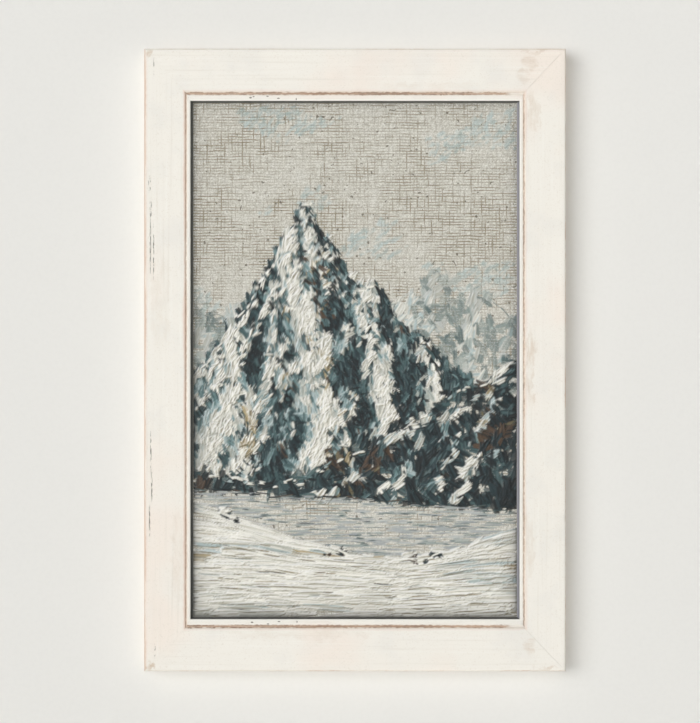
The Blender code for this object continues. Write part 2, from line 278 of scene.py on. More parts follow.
# %% [markdown]
# ## Whitewash on rubbed wood
#
# The maker brushed a thick cream wash on the wood, then sanded the edges and the groove until pinkish brown
# wood came through, and left scratches and thumbed smears. An image wrapped round the frame would stretch
# at the mitres. Here the finish is worked out from each rail's own place: how far a point is from the outer
# edge, how deep, and how far along. The sweep below stores that, with masks for where sandpaper reaches, a
# mask for painted shade on the lip's inner wall and one for a painted highlight along the lip's inner edge.

# %% Places of the marks on the face
FACE_STEP = 0.0008101  # one measuring step on the face
FACE_MIDDLE = (355.05, 360.0)  # the frame's middle in those steps, counted right and down


def face_place(right, down):
    """The x and z of a place measured on the face."""
    x = (right - FACE_MIDDLE[0]) * FACE_STEP
    z = (FACE_MIDDLE[1] - down) * FACE_STEP + CENTRE_Z
    return x, z


TAN_SMEARS = (  # right, down, half width, half height, strength
    (530, 366, 7, 44, 0.50),
    (533, 112, 8, 22, 0.34),
    (529, 545, 6, 40, 0.25),
    (529, 62, 9, 9, 0.40),
    (524, 76, 7, 9, 0.34),
    (530, 645, 9, 9, 0.38),
    (536, 51, 18, 3, 0.40),
    (545, 669, 16, 3, 0.40),
    (160, 300, 12, 60, 0.14),
    (178, 560, 9, 60, 0.20),
    (430, 86, 60, 6, 0.16),
    (300, 634, 90, 6, 0.16),
    (149.5, 666, 7, 5, 0.95),
    (150, 53, 6, 4, 0.80),
)
SCRATCHES = (  # right, down, half width, half height, how close together its dashes are
    (149.6, 184, 1.6, 10, 0.45),
    (150.6, 208, 1.6, 12, 0.45),
    (150.4, 246, 0.8, 34, 0.75),
    (153.6, 252, 0.7, 32, 0.60),
    (150.8, 452, 0.8, 26, 0.60),
    (151.8, 486, 0.8, 18, 0.70),
    (149.6, 520, 0.8, 22, 0.60),
    (155.0, 650, 0.6, 14, 0.42),
    (154.0, 66, 0.6, 12, 0.42),
    (250.5, 97.6, 1.6, 1.0, 1.40),
    (253.6, 96.6, 1.2, 0.7, 1.40),
    (267.5, 96.2, 1.5, 0.7, 1.40),
    (278.4, 98.3, 1.8, 0.7, 1.40),
    (296.2, 99.0, 0.6, 1.4, 1.40),
    (252.0, 622.4, 1.6, 0.9, 1.40),
    (268.0, 624.0, 1.4, 0.7, 1.40),
    (279.0, 621.6, 1.6, 0.7, 1.40),
    (297.0, 621.8, 0.6, 1.3, 1.40),
)

FILLED_FROM, FILLED_TO = 504, 512  # where wash fills the cross rails' grooves, before the right corners

# %% Whitewashed wood


def patch_mask(x, z, right, down, half_width, half_height):
    """1 in the middle of an upright ellipse on the face, easing to 0 at its edge."""
    middle_x, middle_z = face_place(right, down)
    across = (x - middle_x) * (1 / (half_width * FACE_STEP))
    up = (z - middle_z) * (1 / (half_height * FACE_STEP))
    return (across * across + up * up).ease(1.0, 0.25)


def cream_wash(sheet, at, strokes, fine):
    """Cream with cooler and warmer clouds, and faint strokes along the rail."""
    return plain(sheet, 242, 238, 229).coats(
        (234, 231, 224, at.noise(24, 4, 0.6).ease(0.45, 0.70) * 0.7),
        (244, 231, 219, at.noise(9, 3, 0.6).ease(0.48, 0.70) * 0.65),
        (226, 220, 208, strokes.ease(0.52, 0.80) * 0.50),
        (249, 247, 240, strokes.ease(0.46, 0.22) * 0.45),
        (224, 216, 203, fine.ease(0.56, 0.74) * 0.50),
    )


def whitewash():
    material, sheet = new_material("whitewashed_wood")
    rail = own_attribute(sheet, "rail_place", "Vector")
    at = object_place(sheet)
    x, _, z = at.axes()
    names = ("groove", "rub", "shoulder", "bare", "inner", "lip", "rail_side")
    groove, rub, shoulder, bare, inner, lip, rail_side = [own_attribute(sheet, name) for name in names]
    at_left = (rail_side * -1).most(0.0)
    at_right = rail_side.most(0.0)
    on_sides = at_left.most(at_right)

    strokes = rail.noise((420, 420, 9), 3, 0.6)
    fine = at.noise(900, 2, 0.6)
    wood_lines = rail.noise((900, 900, 22), 4, 0.6)
    patchy = rail.noise((60, 60, 17), 3, 0.6) - 0.5
    ragged = rail.noise((700, 700, 260), 3, 0.65) - 0.5

    # Wood shows where the wash is rubbed through: all along the groove, and in stretches on the edges.
    dark_share = (patchy + ragged).ease(-0.02, 0.16) * (0.55 - at_left * 0.40)
    wood = wood_lines.ramp((0.30, 150, 118, 92), (0.50, 186, 156, 132), (0.72, 208, 184, 166))
    wood = wood.coats((134, 112, 96, dark_share))
    halo = (shoulder + ragged * 0.5 + patchy * 1.2).ease(0.40, 1.05)
    groove_rub = (groove * 1.55 + ragged * 2.3 + patchy - on_sides * 0.20).ease(0.50, 1.00)
    filled = x.ease(face_place(FILLED_FROM, 0)[0], face_place(FILLED_TO, 0)[0]) * (1 - on_sides)
    groove_rub = groove_rub * (1 - filled * 0.85)
    edge_rub = (rub * (0.78 + at_left * 0.6) + ragged * 0.7 + patchy * 2.2).ease(0.62, 1.0)
    band = (rub + ragged * 0.3).ease(0.06, 0.50) * at_left * patchy.ease(-0.25, 0.1)
    colour = cream_wash(sheet, at, strokes, fine)
    colour = colour.coats((230, 206, 190, halo * (0.30 + at_left * 0.60 + at_right * 0.20)))
    colour = colour.blend(wood, groove_rub * (0.92 - at_left * 0.40 - at_right * 0.25))
    # Pink wear on the left edge's band and on rubbed edges, then a painted highlight: a near-white line
    # along the lip's inner edge.
    colour = colour.coats(
        (228, 206, 189, band * 0.90), (214, 188, 170, edge_rub * 0.80), (252, 250, 243, lip * 0.8)
    )
    # Painted shade: the lip's inner wall is coated dark grey, as if in shadow, and on the right rail a
    # lighter blue grey, as if lit from the left.
    shadow_grey = plain(sheet, 84, 86, 82).coats((140, 140, 148, at_right))
    colour = colour.blend(shadow_grey, inner * (0.90 + fine * 0.1))

    # Tan smears, left by fingers and a dark rag, then scratches: fine dark dashes inside their patches.
    smudge = at.noise(85, 3, 0.6) - 0.5
    smudged = x + smudge * 0.016, z - smudge * 0.022
    smears = [patch_mask(*smudged, *patch) * strength for *patch, strength in TAN_SMEARS]
    smear = functools.reduce(Wire.most, smears) * rail.noise((260, 260, 60), 4, 0.65).ease(0.30, 0.66)
    dashes = rail.noise((1500, 1500, 210), 2, 0.5)
    scratches = []
    for *patch, closeness in SCRATCHES:
        shift = 0.3 * closeness
        scratches.append(patch_mask(x, z, *patch) * dashes.ease(0.66 - shift, 0.70 - shift))
    scratch = functools.reduce(Wire.most, scratches)
    colour = colour.coats((205, 184, 160, smear), (104, 96, 86, scratch * 0.85))

    # Raw pine behind and in the rabbet, with wash run over its edge.
    pine = rail.noise((160, 110, 5), 4, 0.6)
    pine = pine.ramp((0.30, 188, 146, 98), (0.52, 214, 178, 132), (0.74, 228, 198, 156))
    pine = pine.coats((168, 124, 82, wood_lines.ease(0.56, 0.74) * 0.45))
    raw = (bare + patchy * 0.8 + ragged * 0.25).ease(0.42, 0.62)

    height = strokes * 0.30 + fine * 0.10 + wood_lines * groove_rub.most(raw) * 0.5
    height = height - groove_rub * 0.25 - smear * 0.1 - scratch * 0.8
    roughness = 0.62 + (strokes - 0.5) * 0.12 + groove_rub * 0.16
    shade(sheet, colour.blend(pine, raw), roughness, height, 0.00022)
    return material


WHITEWASH = whitewash()
print("whitewash nodes:", len(WHITEWASH.node_tree.nodes))

# %% [markdown]
# ## The moulding's section
#
# A picture-frame moulding is one section run along the whole rail. This one has, from outside in, an eased
# outer edge, a broad flat, a quirk groove, a raised lip and a coved wall down to the picture. The side
# rails are narrower than the cross rails, so each point of the section has two distances from the outer
# edge: one for the rail it is on, and one for the rail that it meets at the mitre. A plain wire of edges
# with these numbers as attributes is all that the sweep needs.

# %% Points of the section
LONGEST_STEP = 0.0017  # between neighbouring points of the section
EDGE_STEPS, LIP_STEPS, WALL_STEPS = 8, 32, 10  # on the eased edge, over groove and lip, and down the wall
LIP_ROUNDING = 0.0007  # of the lip's inner edge
WALL_EASE = 0.0006  # from the wall's foot to the rabbet ledge


def lip_surface(share):
    """How far the surface lies below the face, from the flat's edge, 0, to the lip's inner edge, 1."""
    well = 0.5 * (1 + math.cos(math.pi * min(abs(share - 0.25) / 0.31, 1.0)))
    step_down = LIP_DROP * float(eased(share, 0.25, 0.45))
    rounding = LIP_ROUNDING * float(eased(share, 0.82, 1.0)) ** 2
    return max(GROOVE_DEPTH * well, step_down) + rounding


def section_corners():
    """(side, cross, depth, share beyond the flat) round the section, from the back's outer corner."""
    points = [(0.0, 0.0, RAIL_DEPTH, None)]
    for step in range(EDGE_STEPS + 1):
        turn = math.radians(90 * step / EDGE_STEPS)
        inset = FACE_EASE * (1 - math.cos(turn))
        points.append((inset, inset, FACE_EASE * (1 - math.sin(turn)), None))
    for step in range(-2, LIP_STEPS + 1):
        share = step / LIP_STEPS
        side = SIDE_FLAT + (SIDE_RAIL - SIDE_FLAT) * share
        cross = CROSS_FLAT + (CROSS_RAIL - CROSS_FLAT) * share
        points.append((side, cross, lip_surface(share), share))
    wall_top = LIP_DROP + LIP_ROUNDING
    wall_foot = LIP_DEPTH - WALL_EASE
    for step in range(1, WALL_STEPS + 1):
        turn = math.pi / 2 * step / WALL_STEPS
        in_plan = 1 - math.cos(turn)
        depth = wall_top + (wall_foot - wall_top) * math.sin(turn)
        points.append((SIDE_RAIL + SCOOP_SIDE * in_plan, CROSS_RAIL + SCOOP_CROSS * in_plan, depth, 1.0))
    points.append((SIDE_RAIL + SCOOP_SIDE, CROSS_RAIL + SCOOP_CROSS, LIP_DEPTH, 1.0))
    points.append((RABBET_SIDE, RABBET_CROSS, LIP_DEPTH, None))
    points.append((RABBET_SIDE, RABBET_CROSS, RAIL_DEPTH, None))
    return points


def finer(points):
    """The same closed section with points added wherever two are far apart."""
    fine = []
    for here, there in zip(points, points[1:] + points[:1]):
        gap = math.dist(here[:3], there[:3])
        count = max(1, math.ceil(gap / LONGEST_STEP))
        for step in range(count):
            share = step / count
            mixed = [a + (b - a) * share for a, b in zip(here[:3], there[:3])]
            fine.append((*mixed, here[3] if step == 0 else None))
    return fine


SECTION = finer(section_corners())
print("section points:", len(SECTION))

# %% Masks along the section


def section_masks(side, depth, share):
    """What the whitewash reads at one point of the section, each from 0 to 1."""
    on_face = depth < FACE_EASE and side < SIDE_RAIL
    groove = max(0.0, 1 - abs(share - 0.24) / 0.26) if share is not None else 0.0
    shoulder = math.exp(-max(SIDE_FLAT - side, 0) / 0.0022) if on_face else 0.0
    if share is not None and share > 0.1:
        shoulder *= max(0.0, 1 - (share - 0.1) / 0.3)
    from_edge = side if on_face else depth - FACE_EASE
    on_outside = on_face or side < 1e-6
    rub = math.exp(-max(from_edge - 0.0004, 0) / 0.0011) if on_outside else 0.0
    behind = depth > LIP_DEPTH - 1e-6 and side > 1e-6
    bare = min(1.0, 0.15 + side / 0.005) if behind else 0.0
    # inner marks painted shade: the lip's inner wall, which gets a dark grey coat as if in shadow.
    inner = float(eased(depth, LIP_DROP + 0.0005, LIP_DROP + 0.0009)) if share == 1.0 else 0.0
    # lip marks a painted highlight: a near-white line along the lip's inner edge.
    lip = float(eased(share, 0.80, 0.92)) * (1 - inner) if share is not None else 0.0
    return {"groove": groove, "shoulder": shoulder, "rub": rub, "bare": bare, "inner": inner, "lip": lip}


def section_wire(name, upright):
    """The section as a closed wire of edges, with reach and mitre for this rail and the masks."""
    mesh = bpy.data.meshes.new(name)
    count = len(SECTION)
    edges = [(i, (i + 1) % count) for i in range(count)]
    mesh.from_pydata([(side, -depth, 0.0) for side, _, depth, _ in SECTION], edges, [])
    values = {"reach": [], "mitre": [], "depth": []}
    for side, cross, depth, share in SECTION:
        values["reach"].append(side if upright else cross)
        values["mitre"].append(cross if upright else side)
        values["depth"].append(depth)
        for mask, value in section_masks(side, depth, share).items():
            values.setdefault(mask, []).append(value)
    for attribute, numbers in values.items():
        give(mesh, attribute, numbers)
    return linked(name, mesh)


# %% [markdown]
# ## Sweeping the rails
#
# A rail could be lofted in Python, but a sweep is what Geometry Nodes do well: the wire becomes a profile, a
# straight line becomes the path, and Curve to Mesh carries the wire's attributes along. Then every point is
# put where its attributes say, which also closes the unequal mitres, and noise wears the edges a little, as
# hand sanding does. Wear only takes wood away, so the rail stays inside its solid.

# %% The sweep's tree


def geometry_tree(name, inputs):
    """A Geometry Nodes tree: the tree itself, a Wire to start from and one for each named input."""
    tree = bpy.data.node_groups.new(name, "GeometryNodeTree")
    tree.interface.new_socket("Geometry", in_out="OUTPUT", socket_type="NodeSocketGeometry")
    for input_name, kind in {"Geometry": "Geometry", **inputs}.items():
        tree.interface.new_socket(input_name, in_out="INPUT", socket_type="NodeSocket" + kind)
    first = Wire(tree).node("NodeGroupInput")
    return tree, Wire(tree), {input_name: first.other(input_name) for input_name in ("Geometry", *inputs)}


def end_tree(geometry, material):
    """Realizes any instances, sets the material and joins the result to the tree's output."""
    whole = geometry.node("GeometryNodeRealizeInstances", {0: geometry})
    painted = whole.node("GeometryNodeSetMaterial", {"Geometry": whole, "Material": material})
    painted.node("NodeGroupOutput", {0: painted})


def store(geometry, name, value, kind="FLOAT"):
    """Stores a value on each point under a name."""
    sockets = {"Geometry": geometry, "Name": name, "Value": value}
    return geometry.node("GeometryNodeStoreNamedAttribute", sockets, data_type=kind)


def read(sheet, name, kind="FLOAT"):
    return sheet.node("GeometryNodeInputNamedAttribute", {"Name": name}, data_type=kind)


def vector(sheet, *values):
    return sheet.node("ShaderNodeCombineXYZ", dict(enumerate(values)))


def sweep(sheet, curve, profile):
    """A closed body from a profile carried along a curve."""
    sockets = {"Curve": curve, "Profile Curve": profile, "Fill Caps": True}
    return sheet.node("GeometryNodeCurveToMesh", sockets)


def rail_tree():
    inputs = {
        "Steps": "Int",
        "Half Across": "Float",
        "Half Along": "Float",
        "Mitre Gap": "Float",
        "Outward": "Vector",
        "Along": "Vector",
        "Face Centre": "Vector",
        "Seed": "Float",
    }
    tree, sheet, wire = geometry_tree("mitred_rail", inputs)
    profile = sheet.node("GeometryNodeMeshToCurve", {"Mesh": wire["Geometry"]})
    line = sheet.node("GeometryNodeCurvePrimitiveLine", {"Start": (0, 0, -1), "End": (0, 0, 1)})
    path = sheet.node("GeometryNodeResampleCurve", {"Curve": line, "Count": wire["Steps"]})
    share = sheet.node("GeometryNodeSplineParameter", output="Factor")
    swept = sweep(sheet, store(path, "share_along", share * 2 - 1), profile)

    # Worn numbers: the groove's edges wander, the outer edge is dented and the flat keeps brush marks.
    along = read(sheet, "share_along") * (wire["Half Along"] - read(sheet, "mitre") - wire["Mitre Gap"])
    place = vector(sheet, read(sheet, "reach"), read(sheet, "depth") + wire["Seed"], along)
    wander = place.noise((40, 40, 60), 3, 0.6) - 0.5
    nick = place.noise((150, 150, 160), 2, 0.6).ease(0.60, 0.74)
    dent = place.noise((90, 90, 75)).ease(0.60, 0.72)
    brushed = place.noise((500, 500, 12), 3, 0.6)
    reach = read(sheet, "reach") + read(sheet, "groove") * (wander * 0.0009 - nick * 0.0004)
    worn = read(sheet, "rub") * (dent * 0.00045 + 0.00004)
    depth = read(sheet, "depth") + worn + brushed * 0.00006 + read(sheet, "shoulder") * nick * 0.00025
    depth = depth.least(RAIL_DEPTH)
    reach = (reach + worn * 0.7).most(0.0)

    position = wire["Outward"].vectors("SCALE", wire["Half Across"] - reach, 3)
    position = position.vectors("ADD", wire["Along"].vectors("SCALE", along, 3))
    position = position.vectors("ADD", wire["Face Centre"]).vectors("ADD", vector(sheet, 0, depth, 0))
    swept = store(swept, "rail_place", place, "FLOAT_VECTOR")
    swept = store(swept, "rail_side", wire["Outward"].axes()[0])
    end_tree(swept.node("GeometryNodeSetPosition", {"Geometry": swept, "Position": position}), WHITEWASH)
    return tree


RAIL_TREE = rail_tree()
print("nodes of the sweep:", len(RAIL_TREE.nodes))

# %% From a tree to a plain piece


def run_tree(carrier, tree, values, name):
    """Runs a tree on a carrier object and returns the result as a plain mesh object."""
    modifier = carrier.modifiers.new(tree.name, "NODES")
    modifier.node_group = tree
    for item in tree.interface.items_tree:
        if item.name in values:
            modifier[item.identifier] = values[item.name]
    bpy.context.view_layer.update()
    graph = bpy.context.evaluated_depsgraph_get()
    evaluated = carrier.evaluated_get(graph)
    mesh = bpy.data.meshes.new_from_object(evaluated, preserve_all_data_layers=True, depsgraph=graph)
    mesh.name = name
    bpy.data.objects.remove(carrier, do_unlink=True)
    return linked(name, mesh)


def face_outwards(mesh):
    """Turns a closed mesh's faces outwards."""
    shape = bmesh.new()
    shape.from_mesh(mesh)
    if shape.calc_volume(signed=True) < 0:
        bmesh.ops.reverse_faces(shape, faces=shape.faces)
    shape.to_mesh(mesh)
    shape.free()


def soften(mesh, degrees):
    """Smooth shading, apart from edges sharper than this."""
    mesh.shade_smooth()
    mesh.set_sharp_from_angle(angle=math.radians(degrees))


def settle(piece, slot, *nodes):
    """Hands a finished piece to the object: its body and the solids that it stands for. slot is not used."""
    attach(piece, "root")
    if nodes:
        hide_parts(*nodes)
    print(f"{piece.name}: {sum(len(polygon.vertices) - 2 for polygon in piece.data.polygons)} triangles")


# %% Four rails
RAIL_STEPS = 430
RAILS = (  # side, upright, outward, half of the gap left at its mitres, seed
    ("left", True, (-1.0, 0.0, 0.0), 0.00002, 1.0),
    ("right", True, (1.0, 0.0, 0.0), 0.00010, 2.0),
    ("top", False, (0.0, 0.0, 1.0), 0.00004, 3.0),
    ("bottom", False, (0.0, 0.0, -1.0), 0.00006, 4.0),
)

for side, upright, outward, gap, seed in RAILS:
    values = {
        "Steps": RAIL_STEPS,
        "Half Across": HALF_WIDTH if upright else HALF_HEIGHT,
        "Half Along": HALF_HEIGHT if upright else HALF_WIDTH,
        "Mitre Gap": gap,
        "Outward": outward,
        "Along": (0.0, 0.0, 1.0) if upright else (1.0, 0.0, 0.0),
        "Face Centre": (0.0, FACE_Y, CENTRE_Z),
        "Seed": seed,
    }
    wire = section_wire("section_" + side, upright)
    piece = run_tree(wire, RAIL_TREE, values, "worn_rail_" + side)
    face_outwards(piece.data)
    soften(piece.data, 40)
    settle(piece, "whitewashed_wood", "rail_" + side)

# %% [markdown]
# ## A winter landscape in thick oil
#
# Thick oil paint is a relief: every stroke leaves ridges from the brush's hairs, a bead of paint at its
# sides and a ragged tail, and the canvas shows where the paint is thin. A flat image with a bump would look
# printed. Thousands of separate stroke meshes would lie on each other like tiles. Here a brush is played
# stroke by stroke on a fine field of heights and colours, as wet paint is laid over paint, and the field
# then becomes the relief's mesh.

# %% The masses of the picture


def in_metres(*points):
    """Points given in millimetres right of and above the picture's middle."""
    return np.array(points) / 1000


FAR_RANGE = in_metres(
    (-140, 30), (-122, 44), (-108, 36), (-90, 48), (-60, 40), (0, 52), (30, 44), (52, 60), (66, 79),
    (74, 73), (88, 52), (101, 61), (112, 50), (126, 34), (140, 30),
)  # fmt: skip
PEAK = in_metres(
    (-140, -22), (-122, -2), (-109, 14), (-97, 36), (-88, 42), (-78, 64), (-66, 79), (-57, 101),
    (-50, 108), (-41, 128), (-35, 120), (-27, 101), (-18, 94), (-8, 71), (6, 58), (16, 63), (27, 45),
    (42, 22), (60, 12), (76, -8), (100, -20), (140, -36),
)  # fmt: skip
NEAR_RIDGE = in_metres(
    (-140, -88), (-112, -94), (-70, -100), (-36, -92), (-10, -78), (12, -70), (36, -50), (60, -44),
    (84, -24), (106, -18), (124, -4), (140, 2),
)  # fmt: skip
LAKE = in_metres(
    (-140, -104), (-60, -110), (0, -112), (60, -118), (140, -121),
)  # fmt: skip
DRIFT = in_metres(
    (-140, -116), (-110, -122), (-80, -133), (-40, -149), (0, -158), (40, -161), (80, -155), (110, -143),
    (140, -135),
)  # fmt: skip
# The rock spurs that part the lit flanks from the dark ones, each from its summit down.
PEAK_SPURS = (
    in_metres((-41, 128), (-38, 100), (-30, 74), (-34, 46), (-18, 16), (-22, -20), (-4, -60), (0, -120)),
    in_metres((-88, 42), (-84, 20), (-92, -6), (-78, -40), (-86, -70), (-80, -120)),
    in_metres((16, 63), (22, 44), (19, 26), (34, 2), (30, -20), (45, -90)),
    in_metres((60, 12), (64, -4), (70, -20), (75, -50)),
)  # fmt: skip
FAR_SPURS = (
    in_metres((66, 79), (70, 50), (64, 20), (70, -20)),
    in_metres((101, 61), (105, 40), (100, 10), (110, -20)),
    in_metres((-122, 44), (-118, 20), (-120, -10)),
    in_metres((-90, 48), (-88, 30), (-92, 0)),
)  # fmt: skip
NEAR_SPURS = (
    in_metres((124, -4), (108, -50), (90, -120)),
    in_metres((60, -44), (52, -70), (40, -120)),
    in_metres((12, -70), (6, -90), (-10, -120)),
)  # fmt: skip


def height_of(line, x):
    """Height of a skyline at x, in metres above the picture's middle."""
    return np.interp(x, line[:, 0], line[:, 1])


# %% The field that the brush works on
CELL = 0.0005  # of the field of heights and colours
FIELD_RIM = 0.002  # of the field beyond what shows
HAIR_CLUMP = 0.00045  # a clump of the brush's hairs, which ends a stroke raggedly
NOISE_KNOTS = 64  # after which gradient noise repeats
WEAVE_HEIGHT = 0.00022  # of the canvas's threads
DRY_RELIEF = 0.0004  # a dry brush only leaves paint on what stands up against this
FULL_LOAD = 0.00018  # the load that hides the canvas
HAIR_SHIFT = (7.3, 3.1)  # how a stroke's place moves its hair lines, so that no two strokes share them
FIELD_X = np.arange(-VIEW_X - FIELD_RIM, VIEW_X + FIELD_RIM, CELL)
FIELD_Z = np.arange(-VIEW_Z - FIELD_RIM, VIEW_Z + FIELD_RIM, CELL)
FIELD_SHAPE = (len(FIELD_Z), len(FIELD_X))
hand = np.random.default_rng(17)


def cloud(size_x, size_z, octaves=3):
    """Smooth noise over the field, from 0 to 1, in blobs of about this size."""
    total = np.zeros(FIELD_SHAPE)
    weight = 0.0
    for octave in range(octaves):
        steps_x = (FIELD_X - FIELD_X[0]) / size_x * 2**octave
        steps_z = (FIELD_Z - FIELD_Z[0]) / size_z * 2**octave
        knots = hand.random((int(steps_z[-1]) + 2, int(steps_x[-1]) + 2))
        column, row = steps_x.astype(int), steps_z.astype(int)
        over_x, over_z = eased(steps_x - column, 0, 1), eased(steps_z - row, 0, 1)[:, None]
        rows = mixed(knots[row], knots[row + 1], over_z)
        total += mixed(rows[:, column], rows[:, column + 1], over_x) * 0.5**octave
        weight += 0.5**octave
    return total / weight


def wander(places, size):
    """Smooth noise from -1 to 1 along one line."""
    steps = (places - places[0]) / size
    knots = hand.uniform(-1, 1, int(steps[-1]) + 2)
    index = steps.astype(int)
    return mixed(knots[index], knots[index + 1], eased(steps - index, 0, 1))


def gradient_noise(u, v, dice):
    """Smooth noise from about -1 to 1 at any places, without a grid's look."""
    turns = dice.uniform(0, 2 * math.pi, (NOISE_KNOTS, NOISE_KNOTS))
    column, row = np.floor(u).astype(int), np.floor(v).astype(int)
    in_column, in_row = u - column, v - row

    def corner(step_u, step_v):
        turn = turns[(row + step_v) % NOISE_KNOTS, (column + step_u) % NOISE_KNOTS]
        return np.cos(turn) * (in_column - step_u) + np.sin(turn) * (in_row - step_v)

    over_u, over_v = eased(in_column, 0, 1), eased(in_row, 0, 1)
    low = mixed(corner(0, 0), corner(1, 0), over_u)
    high = mixed(corner(0, 1), corner(1, 1), over_u)
    return mixed(low, high, over_v) * 1.5


def pigment(red, green, blue):
    return np.array(screen(red, green, blue)[:3])


class Painting:
    """The wet picture: the paint's height and colour, how fully it hides the canvas, and its hair lines."""

    def __init__(self):
        self.height = np.zeros(FIELD_SHAPE)
        self.colour = np.zeros((*FIELD_SHAPE, 3))
        self.cover = np.zeros(FIELD_SHAPE)
        self.hairs = np.zeros((*FIELD_SHAPE, 2))
        self.strokes = 0

    def stroke(self, x, z, angle, length, width, colours, load, bend=0.0, dry=0.0, furrow=0.0011):
        """One pull of the brush. colours are the two pigments on it, load its paint in metres."""
        reach = 0.55 * math.hypot(length, width) + abs(bend) * width
        left, right = np.searchsorted(FIELD_X, (x - reach, x + reach))
        low, high = np.searchsorted(FIELD_Z, (z - reach, z + reach))
        if left >= right or low >= high:
            return
        spot = (slice(low, high), slice(left, right))
        dx = FIELD_X[left:right][None, :] - x
        dz = FIELD_Z[low:high][:, None] - z
        cos, sin = math.cos(angle), math.sin(angle)
        along = (dx * cos + dz * sin) / (length / 2)
        across = (dz * cos - dx * sin) / (width / 2) + bend * (along * along - 0.35)

        def on_brush(values):
            """Values spread over the brush's width, read at each cell."""
            return np.interp((across + 1) / 2 * (len(values) - 1), np.arange(len(values)), values)

        tufts = max(4, int(width / furrow) + 1)
        body = on_brush(hand.random(tufts) * 0.6 + np.arange(tufts) % 2 * 0.4)
        tint = on_brush(hand.random(tufts))
        tips = on_brush(hand.random(max(5, int(width / HAIR_CLUMP))))
        body = body * 0.7 + tips * 0.3
        tail = 0.25 + 0.75 * tips
        start = -1 + 0.45 * (1 - tips) ** 2
        softness = length / 2 / CELL
        taper = 1 - 0.35 * np.clip(along, -1, 1) ** 2
        mask = np.clip((taper - np.abs(across)) * width / 2 / CELL, 0, 1)
        mask *= np.clip((tail - along) * softness, 0, 1) * np.clip((along - start) * softness, 0, 1)
        if dry:
            under = self.height[spot] / DRY_RELIEF + tint * 0.5 + body * 0.4
            mask *= np.clip((under - dry * (0.8 + 0.9 * np.maximum(along, 0))) * 3, 0, 1)

        bead = eased(np.abs(across), 0.62, 0.95) * 0.7
        end_bead = np.exp(-(((tail - along) / 0.10) ** 2)) * 0.8
        thick = load * (0.25 + 0.85 * body + bead + end_bead) * (1 - 0.35 * np.clip(along, -1, 1))
        self.height[spot] = self.height[spot] * (1 - 0.55 * mask) + thick * mask
        fresh = mixed(*colours, eased(tint, 0.35, 0.85)[..., None])
        fresh = fresh * (0.86 + 0.20 * body[..., None])
        picked_up = (0.06 + 0.16 * eased(along, -0.2, 1.0))[..., None]
        fresh = mixed(fresh, self.colour[spot], picked_up)
        self.colour[spot] = mixed(self.colour[spot], fresh, mask[..., None])
        hiding = mask * min(1.0, load / FULL_LOAD)
        self.cover[spot] = np.maximum(self.cover[spot] * (1 - 0.3 * mask), hiding)
        lines = (across * width / 2 + x * HAIR_SHIFT[0], along * length / 2 + z * HAIR_SHIFT[1])
        self.hairs[spot] = np.where(mask[..., None] > 0.5, np.stack(lines, axis=-1), self.hairs[spot])
        self.strokes += 1


painting = Painting()
print("field", FIELD_SHAPE, "of", CELL, "m cells")

# %% [markdown]
# ### Canvas and sky
#
# The sky is a warm grey ground, scraped thin over a coarse canvas. Age drew a net of fine brown cracks
# along the threads. First the ground, then short dry strokes, most of them greige and some a cold pale
# blue, then the cracks, which only show where little paint lies over them.

# %% Pigments
WARM_GREY = pigment(196, 193, 181)
LIGHT_GREY = pigment(214, 212, 202)
DEEP_GREY = pigment(176, 172, 158)
COLD_SKY = pigment(184, 200, 199)
PALE_TEAL = pigment(160, 182, 181)
CRACK_BROWN = pigment(112, 100, 74)
SLATE_BLUE = pigment(134, 150, 146)
SLATE_LIGHT = pigment(166, 176, 170)
SLATE_DEEP = pigment(100, 119, 118)
TEAL = pigment(66, 94, 96)
TEAL_LIGHT = pigment(112, 144, 146)
TEAL_DEEP = pigment(28, 50, 55)
NIGHT = pigment(8, 19, 22)
CREAM = pigment(246, 244, 234)
SNOW = pigment(226, 225, 215)
SNOW_GREY = pigment(190, 191, 181)
SNOW_BLUE = pigment(176, 194, 195)
OCHRE = pigment(178, 160, 118)
OLIVE = pigment(122, 112, 80)
EARTH = pigment(84, 64, 46)
LAVENDER = pigment(166, 172, 175)
MIST = pigment(196, 200, 196)


def tone(*choices, mood=None):
    """Picks one of several (share, pigment, pigment) pairs and varies its lightness a little."""
    shares = np.cumsum([choice[0] for choice in choices])
    draw = hand.random() if mood is None else min(max(mood, 0.0), 0.999)
    pick = choices[int(np.searchsorted(shares, draw * shares[-1], side="right"))]
    light = hand.uniform(0.95, 1.05)
    return pick[1] * light, pick[2] * light


def cell_of(x, z):
    """The field's cell at a place."""
    return np.searchsorted(FIELD_Z[:-1], z), np.searchsorted(FIELD_X[:-1], x)


# %% Sky


def lay_ground():
    """A weave of raised threads under greys that change slowly."""
    weave = 0.5 + 0.25 * (cloud(0.0020, 0.0009, 1) + cloud(0.0009, 0.0020, 1) - 1) * 2
    painting.height += weave * WEAVE_HEIGHT
    light = cloud(0.060, 0.050, 3)[..., None]
    speck = cloud(0.0022, 0.0022, 2)[..., None]
    ground = mixed(DEEP_GREY, LIGHT_GREY, light)
    painting.colour[:] = mixed(ground, WARM_GREY, 0.4) * (0.86 + 0.28 * speck)


